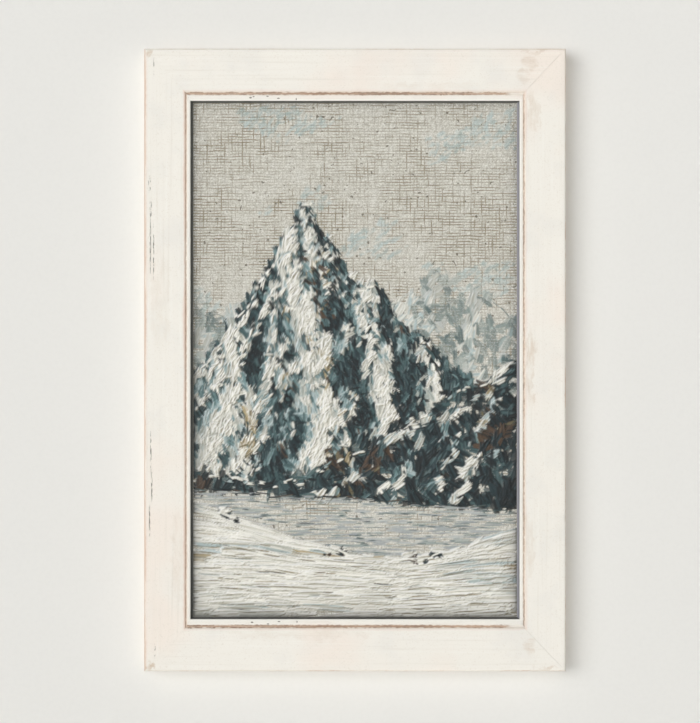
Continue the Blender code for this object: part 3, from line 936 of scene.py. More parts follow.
def brush_sky():
    """Dry greige strokes along the threads, then cold ones where a cloud says so."""
    cold = cloud(0.080, 0.034, 3)
    for _ in range(2300):
        x = hand.uniform(-VIEW_X, VIEW_X)
        z = hand.uniform(-0.02, VIEW_Z)
        level = hand.random() < 0.65
        angle = hand.normal(0, 0.05) + (0 if level else math.pi / 2)
        colours = tone((4, WARM_GREY, LIGHT_GREY), (3, DEEP_GREY, WARM_GREY), (2, LIGHT_GREY, WARM_GREY))
        length, width = hand.uniform(0.006, 0.018), hand.uniform(0.0016, 0.0034)
        painting.stroke(x, z, angle, length, width, colours, 0.00007, dry=0.55)
    for _ in range(4200):
        x = hand.uniform(-VIEW_X, VIEW_X)
        z = hand.uniform(0.0, VIEW_Z)
        if cold[cell_of(x, z)] < 0.57:
            continue
        colours = tone((3, COLD_SKY, LIGHT_GREY), (3, PALE_TEAL, COLD_SKY), (1, PALE_TEAL, SLATE_LIGHT))
        angle = hand.normal(0.7, 0.35)
        painting.stroke(x, z, angle, hand.uniform(0.005, 0.013), 0.0036, colours, 0.00010, dry=0.42)


LINE_STRIP = 0.0026  # on both sides of a line, wide enough for its wavering


def crack_net(step_x, step_z, width, strength_from):
    """Fine lines along the threads both ways: each one wavers, and fades in and out."""
    net = np.zeros(FIELD_SHAPE)
    for lines, ends, step in ((FIELD_X, FIELD_Z, step_x), (FIELD_Z, FIELD_X, step_z)):
        place = lines[0]
        while place < lines[-1]:
            place += hand.uniform(0.35, 1.65) * step
            line = place + wander(ends, 0.024) * 0.0009 + wander(ends, 0.0042) * 0.0002
            strength = wander(ends, 0.017) + 0.4 * wander(ends, 0.005)
            strength = eased(strength, strength_from, strength_from + 1.1) * hand.uniform(0.35, 1)
            near = np.searchsorted(lines, (place - LINE_STRIP, place + LINE_STRIP))
            gap = (lines[near[0] : near[1]][:, None] - line[None, :]) / width
            mark = np.exp(-gap * gap) * strength[None, :]
            strip = net[:, near[0] : near[1]].T if lines is FIELD_X else net[near[0] : near[1]]
            np.maximum(strip, mark, out=strip)
    return net


lay_ground()
brush_sky()
CRACKS = crack_net(0.0062, 0.0050, 0.00040, -0.35)
THREADS = crack_net(0.0027, 0.0021, 0.00034, -0.75)
print("sky strokes:", painting.strokes)

# %% [markdown]
# ### How light falls on a slope
#
# A mountain is a crowd of ridges. Ridged noise makes them: smooth noise folded at its middle, so that the
# fold is a sharp crest, with smaller folds on the crests of the larger ones. Its slope tells which way each
# place faces. Light comes from the left, so left slopes carry lit snow and right slopes are bare and dark.
# A few given spurs, drawn from each summit down, split the mountain into its main flanks.

# %% Light and fall of a slope


def ridged(u, v, dice, octaves):
    """Crests with smaller crests on them, from 0 to about 1."""
    total, weight = 0.0, 1.0
    for octave in range(octaves):
        crest = (1 - np.abs(gradient_noise(u * 2**octave, v * 2**octave, dice))) ** 2
        total = total + crest * weight * 0.5**octave
        weight = np.clip(crest * 1.6, 0, 1)
    return total / 1.75


def main_flanks(spurs, jag):
    """1 just left of the nearest spur, -1 just right of it, and paler away from it."""
    side = np.zeros(FIELD_SHAPE)
    nearest = np.full(FIELD_SHAPE, np.inf)
    for spur in spurs:
        heights = [-point[1] for point in spur]
        spur_x = np.interp(-FIELD_Z, heights, [point[0] for point in spur])
        across = FIELD_X[None, :] + jag - spur_x[:, None]
        below = (spur[0][1] - FIELD_Z)[:, None]
        gap = np.abs(across) / (0.004 + 0.6 * np.maximum(below, 0))
        gap = np.where(below > -0.006, gap, np.inf)
        shade_side = np.where(across < 0, 1 + across / 0.060, -1 + across / 0.038)
        side = np.where(gap < nearest, np.clip(shade_side, -1, 1), side)
        nearest = np.minimum(gap, nearest)
    return side


def slope_light(spurs, ridge_x, ridge_z, bias, roughness, seed):
    """Two fields for a mass: how lit each place is, about -1 to 1, and which way it falls, left above 0."""
    dice = np.random.default_rng(seed)
    x, z = np.meshgrid(FIELD_X, FIELD_Z)
    bow_x = gradient_noise(x / 0.05, z / 0.05, dice) * 0.016
    bow_z = gradient_noise(x / 0.05, z / 0.05, dice) * 0.020
    jag = gradient_noise(x / 0.012, z / 0.016, dice) * 0.0035
    jag += gradient_noise(x / 0.005, z / 0.006, dice) * 0.0015
    summit_x, summit_z = spurs[0][0]
    fan = np.arctan2(x - summit_x, summit_z + 0.022 - z) * 0.16
    crests = ridged((fan * 0.5 + x * 0.5 + bow_x) / ridge_x, (z + bow_z) / ridge_z, dice, 3)
    rise_z, rise_x = np.gradient(crests)
    facing = rise_x * 0.9 - rise_z * 0.4
    facing *= 0.55 / facing.std()
    grain = gradient_noise(x / 0.009, z / 0.013, dice) + 0.5 * gradient_noise(x / 0.0045, z / 0.006, dice)
    return main_flanks(spurs, jag) * 0.62 + facing + grain * roughness + bias, facing


PEAK_SLOPE = slope_light(PEAK_SPURS, 0.036, 0.070, -0.08, 0.18, 5)
FAR_SLOPE = slope_light(FAR_SPURS, 0.024, 0.040, 0.05, 0.12, 8)
NEAR_SLOPE = slope_light(NEAR_SPURS, 0.050, 0.030, -0.42, 0.10, 12)
print("lit share of the peak:", round(float((PEAK_SLOPE[0] > 0.1).mean()), 2))

# %% [markdown]
# ### Far range
#
# Distance takes the contrast away: slate blues, thin enough to let the canvas through, with a darker line
# where the brush drew the skyline.

# %% Brushing a slope
# Which of a palette's pairs is on the brush, patch by patch.
MOOD = (cloud(0.016, 0.022, 2) - 0.5) * 2.4 + 0.5


def slope_of(line, x):
    """The skyline's own slope at x, as an angle."""
    return math.atan2(height_of(line, x + 0.004) - height_of(line, x - 0.004), 0.008)


def scatter(count, line, floor_line, margin=0.0):
    """Random places between two skylines, from the top of the picture down."""
    x = hand.uniform(-VIEW_X, VIEW_X, count * 4)
    z = hand.uniform(-VIEW_Z, VIEW_Z, count * 4)
    inside = (z < height_of(line, x) - margin) & (z > height_of(floor_line, x))
    places = list(zip(x[inside][:count], z[inside][:count]))
    return sorted(places, key=lambda place: -place[1])


def trace(line, step, choices, width, load, jitter=0.0008, drop=0.0, keep=1.0):
    """Strokes laid end to end along a skyline."""
    x = -VIEW_X
    while x < VIEW_X:
        length = hand.uniform(0.7, 1.4) * step
        if hand.random() < keep:
            z = height_of(line, x) - drop + hand.normal(0, jitter)
            angle = slope_of(line, x) + hand.normal(0, 0.12)
            painting.stroke(x, z, angle, length, width * hand.uniform(0.7, 1.3), tone(*choices), load)
        x += length * 0.6


def brush_mass(line, floor_line, slope, coats):
    """Coats of strokes that follow the fall of a slope, on the mass between two skylines.

    A coat is (strokes, gap under the skyline, palette, lengths, widths, lean, share of level strokes). A
    palette is ((light below, loads, choices), ...), dark first.
    """
    light, fall = slope
    for count, margin, palette, lengths, widths, lean, level in coats:
        for x, z in scatter(count, line, floor_line, margin):
            cell = cell_of(x, z)
            lit = light[cell] + hand.normal(0, 0.05)
            loads, choices = next(rest for limit, *rest in palette if lit < limit)
            if not choices:
                continue
            down = -math.pi / 2 - lean * math.tanh(fall[cell] * 1.6) + hand.normal(0, 0.24)
            if hand.random() < level:
                down = hand.normal(0, 0.25) + (math.pi if lit > 0 else 0)
            length, width = hand.uniform(*lengths), hand.uniform(*widths)
            load = hand.uniform(*loads)
            colours = tone(*choices, mood=MOOD[cell] + hand.normal(0, 0.10))
            painting.stroke(x, z, down, length, width, colours, load, bend=hand.normal(0, 0.22))


# %% Far range
ALWAYS = 9.0  # a light that no place reaches
FAR_PALETTE = (
    (-0.35, (0.00008, 0.00014), ((3, SLATE_DEEP, SLATE_BLUE), (1, TEAL, SLATE_DEEP))),
    (0.10, (0.00008, 0.00014), ((3, SLATE_BLUE, SLATE_LIGHT), (2, SLATE_DEEP, SLATE_BLUE))),
    (0.55, (0.00010, 0.00018), ((3, SLATE_LIGHT, MIST), (2, SLATE_BLUE, SLATE_LIGHT), (1, PALE_TEAL, MIST))),
    (ALWAYS, (0.00016, 0.00028), ((3, SNOW_GREY, MIST), (2, SNOW, SNOW_BLUE))),
)
FAR_COATS = ((1100, 0.0020, FAR_PALETTE, (0.010, 0.022), (0.0034, 0.0070), 0.8, 0.2),)
FAR_EDGE = ((2, SLATE_BLUE, SLATE_DEEP), (1, SNOW_GREY, MIST))
brush_mass(FAR_RANGE, PEAK, FAR_SLOPE, FAR_COATS)
trace(FAR_RANGE, 0.008, FAR_EDGE, 0.0015, 0.00014, keep=0.8)
print("strokes after the far range:", painting.strokes)

# %% [markdown]
# ### The peak
#
# Three coats: broad dark strokes first, then the slopes by their light, then short thick touches on top.
# The lit snow is the thickest paint of the picture, and pulled down the slope.

# %% The peak
PEAK_PALETTE = (
    (-0.75, (0.00020, 0.00040), ((6, NIGHT, TEAL_DEEP), (0.15, EARTH, NIGHT))),
    (-0.30, (0.00020, 0.00040), ((4, TEAL_DEEP, TEAL), (2, NIGHT, TEAL_DEEP), (1, TEAL, TEAL_LIGHT))),
    (0.00, (0.00022, 0.00045), ((4, TEAL, TEAL_LIGHT), (2, TEAL_DEEP, TEAL), (2, TEAL_LIGHT, SNOW_BLUE))),
    (0.22, (0.00030, 0.00055),
     ((3, SNOW_BLUE, TEAL_LIGHT), (3, SLATE_LIGHT, SNOW_GREY), (1, TEAL, TEAL_DEEP))),
    (0.50, (0.00035, 0.00070),
     ((4, SNOW, SNOW_GREY), (3, SNOW_GREY, SNOW), (1, SNOW_BLUE, SNOW), (1, OCHRE, SNOW))),
    (ALWAYS, (0.00045, 0.00095),
     ((7, CREAM, SNOW), (3, CREAM, CREAM), (2, SNOW, CREAM), (0.6, CREAM, OCHRE))),
)  # fmt: skip
UNDERCOAT = (
    (ALWAYS, (0.00012, 0.00024), ((4, TEAL_DEEP, TEAL), (3, TEAL, TEAL_DEEP), (2, NIGHT, TEAL_DEEP))),
)
TOUCHES = (
    (-0.35, (0.0003, 0.0005), ((4, NIGHT, TEAL_DEEP), (0.15, EARTH, NIGHT), (1, TEAL, TEAL_DEEP))),
    (0.20, (0.0003, 0.0005), ()),
    (ALWAYS, (0.0006, 0.0010),
     ((6, CREAM, CREAM), (2, SNOW, CREAM), (1, SNOW_GREY, SNOW), (0.5, OLIVE, OCHRE))),
)  # fmt: skip
PEAK_COATS = (
    (1500, 0.0012, UNDERCOAT, (0.010, 0.022), (0.0040, 0.0080), 0.50, 0.00),
    (2600, 0.0020, PEAK_PALETTE, (0.010, 0.022), (0.0036, 0.0075), 0.65, 0.00),
    (1500, 0.0012, PEAK_PALETTE, (0.006, 0.014), (0.0022, 0.0044), 0.75, 0.04),
    (500, 0.0010, TOUCHES, (0.005, 0.011), (0.0016, 0.0032), 0.90, 0.08),
)
LIT_EDGE = ((4, CREAM, CREAM), (1, SNOW, CREAM))
DARK_EDGE = ((2, TEAL_DEEP, NIGHT), (1, TEAL, TEAL_LIGHT))


def edge_peak(keep):
    """Lit snow on the peak's skyline where it climbs to the right, and dark rock where it falls."""
    x = -VIEW_X
    while x < VIEW_X:
        length = hand.uniform(0.005, 0.010)
        slope = slope_of(PEAK, x)
        lit = slope > 0.1 or (slope > -0.3 and hand.random() < 0.5)
        colours = tone(*(LIT_EDGE if lit else DARK_EDGE))
        if hand.random() < keep:
            z = height_of(PEAK, x) - 0.0014 + hand.normal(0, 0.0006)
            load = 0.0006 if lit else 0.0003
            angle = slope + hand.normal(0, 0.15)
            painting.stroke(x, z, angle, length, hand.uniform(0.0016, 0.0030), colours, load)
        x += length * 0.6


brush_mass(PEAK, NEAR_RIDGE, PEAK_SLOPE, PEAK_COATS)
edge_peak(0.8)
print("strokes after the peak:", painting.strokes)

# %% [markdown]
# ### Near ridge, lake and snowfield
#
# The near ridge is the darkest note, with snow caught on its edge. The lake lies flat, so its strokes are
# level and long. The snowfield is thick again, pulled along the drifts, with grey and ochre in its hollows.

# %% Near ridge
NEAR_PALETTE = (
    (-0.40, (0.0002, 0.0005), ((7, NIGHT, TEAL_DEEP), (0.15, EARTH, NIGHT))),
    (0.10, (0.0002, 0.0005), ((4, TEAL_DEEP, TEAL), (2, NIGHT, TEAL_DEEP), (0.2, OLIVE, EARTH))),
    (0.32, (0.0003, 0.0006), ((3, TEAL, TEAL_LIGHT), (2, SNOW_BLUE, TEAL_LIGHT), (1, TEAL_DEEP, TEAL))),
    (0.50, (0.0003, 0.0007), ((3, SNOW_GREY, SNOW_BLUE), (2, SNOW, SNOW_GREY), (1, OCHRE, SNOW_GREY))),
    (ALWAYS, (0.0004, 0.0009), ((4, CREAM, SNOW), (2, SNOW, SNOW_BLUE))),
)
NEAR_COATS = (
    (1500, 0.0012, UNDERCOAT, (0.010, 0.022), (0.0036, 0.0070), 0.9, 0.40),
    (1000, 0.0016, NEAR_PALETTE, (0.010, 0.022), (0.0034, 0.0070), 1.0, 0.12),
    (300, 0.0008, NEAR_PALETTE, (0.005, 0.011), (0.0020, 0.0036), 1.0, 0.15),
)
NEAR_EDGE = ((4, CREAM, SNOW), (1, SNOW_BLUE, TEAL_LIGHT))
brush_mass(NEAR_RIDGE, LAKE, NEAR_SLOPE, NEAR_COATS)
trace(NEAR_RIDGE, 0.006, NEAR_EDGE, 0.0026, 0.0007, drop=0.0014, keep=0.5, jitter=0.0013)

# %% Lake and snowfield
LEVEL_WATER = ((4, LAVENDER, MIST), (3, SLATE_LIGHT, LAVENDER), (2, SLATE_BLUE, LAVENDER), (1, SNOW, MIST))
HOLLOW_SNOW = ((4, SNOW_GREY, SNOW), (3, SNOW_BLUE, SNOW), (2, SNOW, SNOW_BLUE), (1, OCHRE, SNOW_GREY))
HIGH_SNOW = ((7, CREAM, SNOW), (5, CREAM, CREAM), (1, SNOW, SNOW_GREY))
GAP_LINES = ((3, OLIVE, OCHRE), (2, OCHRE, SNOW_GREY), (1, TEAL_DEEP, OLIVE), (2, SLATE_BLUE, SNOW_GREY))
STONE = ((3, NIGHT, TEAL_DEEP), (1, EARTH, NIGHT), (1, TEAL_DEEP, TEAL))
STONE_GROUPS = ((-0.104, 0.007, 5), (-0.018, 0.004, 3), (0.060, 0.012, 7))  # middle, spread and count
BELOW_ALL = in_metres((-1000, -1000), (1000, -1000))


def paint_lake():
    """Level strokes, then the mirrored peak's dark side and the shore's shade."""
    for x, z in scatter(1300, LAKE, DRIFT):
        colours = tone(*LEVEL_WATER)
        length, width = hand.uniform(0.010, 0.030), hand.uniform(0.0010, 0.0022)
        painting.stroke(x, z, hand.normal(0, 0.03), length, width, colours, 0.00021)
    for x, z in scatter(620, LAKE, DRIFT):
        mirrored = PEAK_SLOPE[0][cell_of(x, 2 * height_of(LAKE, x) - z)]
        shore = math.exp(-(height_of(LAKE, x) - z) / 0.007)
        if hand.random() > 0.25 + 0.5 * (mirrored < 0) + 0.5 * shore:
            continue
        colours = tone((3, TEAL, SLATE_BLUE), (2, SLATE_DEEP, LAVENDER), (1 + 3 * shore, TEAL_DEEP, TEAL))
        painting.stroke(x, z, hand.normal(0, 0.04), hand.uniform(0.006, 0.018), 0.0014, colours, 0.00020)


def drift_angle(x, z, jitter):
    """A stroke in the snow follows the drift's edge, less so the further down it lies."""
    below = height_of(DRIFT, x) - z
    return slope_of(DRIFT, x) * math.exp(-below / 0.022) + hand.normal(0, jitter)


def paint_drift():
    """Long thick strokes along the drifts, with thin olive lines left between them."""
    hollows = cloud(0.060, 0.011, 3)
    for x, z in scatter(640, DRIFT, BELOW_ALL, 0.002):
        angle = drift_angle(x, z, 0.035)
        colours = tone(*(HOLLOW_SNOW if hollows[cell_of(x, z)] > 0.60 else HIGH_SNOW))
        length, width = hand.uniform(0.024, 0.070), hand.uniform(0.0050, 0.0100)
        load = hand.uniform(0.00050, 0.00100)
        painting.stroke(x, z, angle, length, width, colours, load, bend=hand.normal(0, 0.22), furrow=0.0013)
    for x, z in scatter(170, DRIFT, BELOW_ALL, 0.002):
        angle = drift_angle(x, z, 0.05)
        colours = tone(*GAP_LINES)
        length, width = hand.uniform(0.008, 0.028), hand.uniform(0.0008, 0.0014)
        painting.stroke(x, z, angle, length, width, colours, 0.00012, bend=hand.normal(0, 0.9))


def paint_shore_stones():
    """Dark stones with snow caps, huddled in a few groups at the drift's edge."""
    for middle, spread, count in STONE_GROUPS:
        for _ in range(count):
            x = middle + hand.normal(0, spread)
            z = height_of(DRIFT, x) - 0.0015 + hand.normal(0, 0.0018)
            size = hand.uniform(0.0025, 0.0085)
            stone = tone(*STONE)
            for _ in range(4):
                aside, lift = hand.normal(0, size * 0.35), hand.normal(0, size * 0.18)
                painting.stroke(x + aside, z + lift, hand.normal(0, 0.6), size, size * 0.6, stone, 0.0004)
            cap = tone((1, CREAM, SNOW))
            cap_angle = hand.normal(0, 0.2)
            painting.stroke(x - 0.0004, z + size * 0.42, cap_angle, size * 1.7, size * 0.6, cap, 0.0007)


paint_lake()
trace(LAKE, 0.012, ((2, NIGHT, TEAL_DEEP), (1, EARTH, TEAL)), 0.0018, 0.0003, keep=0.85)
paint_drift()
paint_shore_stones()
trace(DRIFT, 0.014, ((4, CREAM, SNOW), (1, SNOW, OCHRE)), 0.0026, 0.0006, drop=0.001, keep=0.85)
print("strokes in all:", painting.strokes)

# %% [markdown]
# ### Cracks, painted shade and painted highlights
#
# Each ridge of paint gets painted shade on its lower side and a painted highlight on its upper side, as a
# light from the upper left would give. Painted shadow darkens the picture where the frame's lip would shade
# it. Both follow the relief, so they come last.

# %% Painted shade and highlights, cracks and the lip's painted shadow


def crack_and_shade_picture():
    """Painted shade under the ridges, painted highlights on their tops, cracks in thin paint and the lip's
    painted shadow.
    """
    rise_z, rise_x = np.gradient(painting.height, CELL)
    # Painted shade and highlight: paint whose slope faces away from a light at the upper left is darkened,
    # towards olive on pale paint and towards black on dark paint, and paint facing it is lightened.
    facing = (rise_x * 0.75 - rise_z * 0.65) / 0.5
    painted_shade = np.clip(-facing * 1.2, 0, 1) ** 0.8
    painted_highlight = np.clip(facing * 1.3, 0, 1)
    lightness = painting.colour.mean(axis=2, keepdims=True)
    shade_tint = mixed(NIGHT, OLIVE, np.clip(lightness * 1.5, 0, 1))
    painting.colour[:] = mixed(painting.colour, shade_tint, painted_shade[..., None] * 0.80)
    share = painted_highlight[..., None] * 0.66 * np.clip(lightness * 1.6, 0.04, 1)
    painting.colour[:] = painting.colour + (1 - painting.colour) * share

    thin = 1 - eased(painting.cover, 0.25, 0.9)
    above = FIELD_Z[:, None] > height_of(PEAK, FIELD_X)[None, :] - 0.002
    for net, strength, depth in ((THREADS, 0.42, 0.00006), (CRACKS, 0.80, 0.00016)):
        mark = net * thin * np.where(above, 1.0, 0.25)
        painting.colour[:] = mixed(painting.colour, CRACK_BROWN, (mark * strength)[..., None])
        painting.height -= mark * depth

    # Painted shadow of the frame's lip: the paint darkens towards the sight edge, most in its last few
    # millimetres.
    gap = np.minimum(VIEW_X - np.abs(FIELD_X)[None, :], VIEW_Z - np.abs(FIELD_Z)[:, None])
    gap = np.maximum(gap + (cloud(0.010, 0.010, 2) - 0.5) * 0.0016, 0)
    painting.colour *= (1 - 0.32 * np.exp(-gap / 0.0014) - 0.52 * np.exp(-gap / 0.0056))[..., None]


crack_and_shade_picture()
np.maximum(painting.height, 0, out=painting.height)
print("highest paint:", round(float(painting.height.max()) * 1000, 2), "mm")

# %% [markdown]
# ### From the field to pieces
#
# Each mass becomes a piece of its own: a grid between two skylines whose points take their height, colour
# and hair lines from the field. Walls and a flat back close it. Neighbours share their border, so the
# picture has no seams.

# %% Oil paint
THREAD_LEVEL = 0.0023  # between the canvas's level threads
THREAD_UP = 0.0029


def threads(place, spacing):
    """A wave from -1 to 1 across threads this far apart."""
    return (place * (2 * math.pi / spacing)).math("SINE")


def oil_paint():
    """Paint that brings its colour. Hair lines run along the strokes, and canvas shows where it is thin."""
    material, sheet = new_material("oil_paint")
    pigment_here = own_attribute(sheet, "pigment", "Color")
    hairs = own_attribute(sheet, "hairs", "Vector")
    cover = own_attribute(sheet, "cover")
    at = object_place(sheet)
    x, _, z = at.axes()
    bristle = hairs.noise((1700, 45, 1))
    bow = at.noise(90, 1) * 0.0016
    gaps_level = threads(z + bow, THREAD_LEVEL).ease(-0.1, 1.0) * at.noise((60, 1, 420)).ease(0.34, 0.58)
    gaps_up = threads(x - bow, THREAD_UP).ease(0.1, 1.0) * at.noise((420, 1, 60)).ease(0.44, 0.66)
    weave = gaps_level.most(gaps_up) * (at.noise(26, 2).ease(0.30, 0.62) * 0.7 + 0.3)
    beads = at.noise(1000, 1)
    specks = at.noise(340, 0).ease(0.785, 0.81)
    thin = 1 - cover.ease(0.2, 0.9)
    paleness = sheet.node("ShaderNodeRGBToBW", {0: pigment_here})
    # Painted shade and highlight on the hair lines: darker in their furrows, and lighter on their crests
    # where the paint is pale.
    colour = pigment_here.coats(
        (0, 0, 0, bristle.ease(0.55, 0.25) * cover * 0.22),
        (255, 255, 255, bristle.ease(0.55, 0.85) * cover * paleness * 0.16),
        (226, 225, 218, (1 - weave) * thin * 0.40),
        (132, 120, 94, beads.ease(0.54, 0.66) * thin * 0.30),
        (236, 235, 228, beads.ease(0.46, 0.34) * thin * 0.55),
        (130, 117, 90, weave * thin * 0.76),
        (84, 76, 58, specks * thin * 0.7),
    )
    height = bristle * cover * 0.6 - weave * thin * 0.6 + at.noise(1500, 1) * 0.08
    roughness = 0.46 + thin * 0.22 + (bristle - 0.5) * 0.1
    shade(sheet, colour, roughness, height, 0.00028, Specular_IOR_Level=0.28)
    return material


OIL_PAINT = oil_paint()

# %% Relief pieces
RELIEF_STEP = 0.00074  # between the relief's points
SIDE_CLEARANCE = 0.0002  # to the sight edge
FILM_BASE = 0.0003  # the film's thickness under the strokes
FILM_BACK_Y = PANEL[0].y - 0.0001
SHOWS_FROM = 0.0004  # the height over which a mass counts as showing
THINNEST = 0.0001  # the height a piece keeps where it runs out, so that no face collapses


def read_field(field, x, z):
    """The field's values at any places, mixed from the four nearest cells."""
    column = np.clip((x - FIELD_X[0]) / CELL, 0, len(FIELD_X) - 1.001)
    row = np.clip((z - FIELD_Z[0]) / CELL, 0, len(FIELD_Z) - 1.001)
    left, low = column.astype(int), row.astype(int)
    right_share, high_share = column - left, row - low
    if field.ndim == 3:
        right_share, high_share = right_share[..., None], high_share[..., None]
    bottom = mixed(field[low, left], field[low, left + 1], right_share)
    top = mixed(field[low + 1, left], field[low + 1, left + 1], right_share)
    return mixed(bottom, top, high_share)


def nearest(places, steps):
    """The numbers of the field's cells that are nearest to some places, along one side."""
    return np.clip(np.rint((places - steps[0]) / CELL).astype(int), 0, len(steps) - 1)


def relief_piece(name, x, low, high):
    """A closed piece of the relief over the columns x, from the heights low to the heights high."""
    rows = max(3, math.ceil((high - low).max() / RELIEF_STEP))
    columns = len(x)
    share = np.linspace(0, 1, rows + 1)[:, None]
    z = low[None, :] + (high - low)[None, :] * share
    x_grid = np.broadcast_to(x, z.shape)
    y = FILM_BACK_Y - FILM_BASE - read_field(painting.height, x_grid, z)
    front = np.stack((x_grid, y, z + CENTRE_Z), axis=-1).reshape(-1, 3)
    backs = [np.stack((x, np.full(columns, FILM_BACK_Y), end + CENTRE_Z), axis=-1) for end in (low, high)]
    vertices = np.concatenate((front, *backs))

    index = np.arange((rows + 1) * columns).reshape(rows + 1, columns)
    quads = np.stack((index[:-1, :-1], index[:-1, 1:], index[1:, 1:], index[1:, :-1]), axis=-1)
    faces = quads.reshape(-1, 4).tolist()
    low_start = (rows + 1) * columns
    high_start = low_start + columns
    for i in range(columns - 1):
        lower, upper = low_start + i, high_start + i
        faces.append((lower, lower + 1, int(index[0, i + 1]), int(index[0, i])))
        faces.append((int(index[-1, i]), int(index[-1, i + 1]), upper + 1, upper))
        faces.append((lower + 1, lower, upper, upper + 1))
    faces.append((low_start, *index[:, 0].tolist(), high_start))
    faces.append((high_start + columns - 1, *index[::-1, -1].tolist(), low_start + columns - 1))

    mesh = bpy.data.meshes.new(name)
    mesh.from_pydata(vertices.tolist(), [], faces)
    mesh.materials.append(OIL_PAINT)
    all_x, all_z = vertices[:, 0], vertices[:, 2] - CENTRE_Z
    pigments = np.ones((len(vertices), 4))
    pigments[:, :3] = read_field(painting.colour, all_x, all_z)
    hairs = np.zeros((len(vertices), 3))
    hairs[:, :2] = painting.hairs[nearest(all_z, FIELD_Z), nearest(all_x, FIELD_X)]
    give(mesh, "pigment", pigments, "FLOAT_COLOR")
    give(mesh, "hairs", hairs, "FLOAT_VECTOR")
    give(mesh, "cover", read_field(painting.cover, all_x, all_z))
    face_outwards(mesh)
    soften(mesh, 60)
    return linked(name, mesh)


def stretches(x, low, high):
    """The runs of columns in which a mass shows, as slices."""
    shown = high - low > SHOWS_FROM
    runs = []
    start = None
    for i, here in enumerate([*shown, False]):
        if here and start is None:
            start = i
        elif not here and start is not None:
            if i - start > 3:
                runs.append(slice(start, min(i + 1, len(x))))
            start = None
    return runs


# %% Make the picture's pieces
COLUMNS = np.linspace(-VIEW_X + SIDE_CLEARANCE, VIEW_X - SIDE_CLEARANCE, round(2 * VIEW_X / RELIEF_STEP))
MASSES = {  # from the front to the back
    "drift": DRIFT,
    "lake": LAKE,
    "near_ridge": NEAR_RIDGE,
    "peak": PEAK,
    "far_range": FAR_RANGE,
}

floor_height = np.full(len(COLUMNS), -VIEW_Z + SIDE_CLEARANCE)
for mass, line in MASSES.items():
    top = np.maximum(height_of(line, COLUMNS), floor_height)
    runs = stretches(COLUMNS, floor_height, top)
    for number, run in enumerate(runs, 1):
        suffix = "" if len(runs) == 1 else f"_{number}"
        shown_top = np.maximum(top[run], floor_height[run] + THINNEST)
        piece = relief_piece(f"relief_{mass}{suffix}", COLUMNS[run], floor_height[run], shown_top)
        settle(piece, mass + "_paint", f"paint_{mass}{suffix}")
    floor_height = top
sky_top = np.full(len(COLUMNS), VIEW_Z - SIDE_CLEARANCE)
middle_column = len(COLUMNS) // 2
for side, run in (("left", slice(0, middle_column + 1)), ("right", slice(middle_column, None))):
    piece = relief_piece("relief_sky_" + side, COLUMNS[run], floor_height[run], sky_top[run])
    settle(piece, "painted_ground")

# %% [markdown]
# ## The back
#
# Behind the picture a brown hardboard backing is held by framer's points, a sawtooth hanger is nailed to
# the top rail, felt bumpers keep the frame off the wall and two thin nails bent to a V cross each mitre.
# None of it is varnished, so each finish tells what it is: the print of a wire screen in the hardboard,
# the spangle and dull scuffs of zinc, and the fuzz of felt.

# %% Finishes of the back
SCREEN_PITCH = 0.0017  # of the wire screen that pressed the hardboard


def zinc_plate():
    material, sheet = new_material("zinc_plate")
    at = object_place(sheet)
    crystals = sheet.node("ShaderNodeTexVoronoi", {"Vector": at, "Scale": 900.0}, "Color")
    spangle = sheet.node("ShaderNodeRGBToBW", {0: crystals})
    scuffs = at.noise((500, 500, 3000), 3, 0.6).ease(0.55, 0.70)
    dull = at.noise(260, 3, 0.6).ease(0.48, 0.68)
    colour = plain(sheet, 190, 192, 194).coats(
        (158, 161, 166, spangle * 0.6), (134, 128, 116, dull * 0.55), (214, 214, 212, scuffs * 0.45)
    )
    height = spangle * 0.25 + scuffs * 0.5 + at.noise(1800, 2) * 0.3
    shade(sheet, colour, 0.30 + dull * 0.24 + spangle * 0.08, height, 0.00004, Metallic=1.0)
    return material


def hardboard():
    material, sheet = new_material("hardboard")
    at = object_place(sheet)
    x, _, z = at.axes()
    print_of_screen = threads(z, SCREEN_PITCH) * threads(x, SCREEN_PITCH) * 0.5 + 0.5
    fibres = at.noise((700, 700, 260), 4, 0.7)
    clouds = at.noise(18, 3, 0.6)
    scrape = at.noise((14, 14, 260), 3, 0.6).ease(0.66, 0.74)
    colour = fibres.ramp((0.28, 74, 50, 34), (0.50, 108, 76, 52), (0.74, 142, 106, 76)).coats(
        (88, 60, 42, clouds.ease(0.40, 0.66) * 0.5),
        (66, 45, 32, print_of_screen.ease(0.62, 0.95) * 0.45),
        (162, 128, 96, scrape * 0.5),
    )
    height = fibres * 0.5 - print_of_screen * 0.8 - scrape * 0.3
    shade(sheet, colour, 0.78 + (fibres - 0.5) * 0.16, height, 0.00018, Specular_IOR_Level=0.3)
    return material


def primed_board():
    """The panel's own face and edges: brown board under brushed chalk ground."""
    material, sheet = new_material("primed_board")
    at = object_place(sheet)
    brushed = at.noise((40, 300, 900), 3, 0.6)
    bare = at.noise(90, 4, 0.65)
    colour = plain(sheet, 206, 202, 190).coats(
        (184, 179, 165, brushed.ease(0.42, 0.70)), (118, 86, 60, bare.ease(0.60, 0.66))
    )
    shade(sheet, colour, 0.72 + (brushed - 0.5) * 0.2, brushed * 0.6 - bare * 0.3, 0.00015)
    return material


def felt():
    material, sheet = new_material("felt")
    at = object_place(sheet)
    fibres = at.noise((1400, 900, 1400), 4, 0.75)
    lumps = at.noise(420, 3, 0.6)
    colour = fibres.ramp((0.30, 52, 38, 30), (0.52, 84, 64, 50), (0.76, 126, 102, 84))
    colour = colour.coats((44, 32, 26, lumps.ease(0.50, 0.74) * 0.5))
    height = fibres * 0.6 + lumps * 0.6
    shade(sheet, colour, 0.92 + (fibres - 0.5) * 0.1, height, 0.0003, Specular_IOR_Level=0.15)
    return material


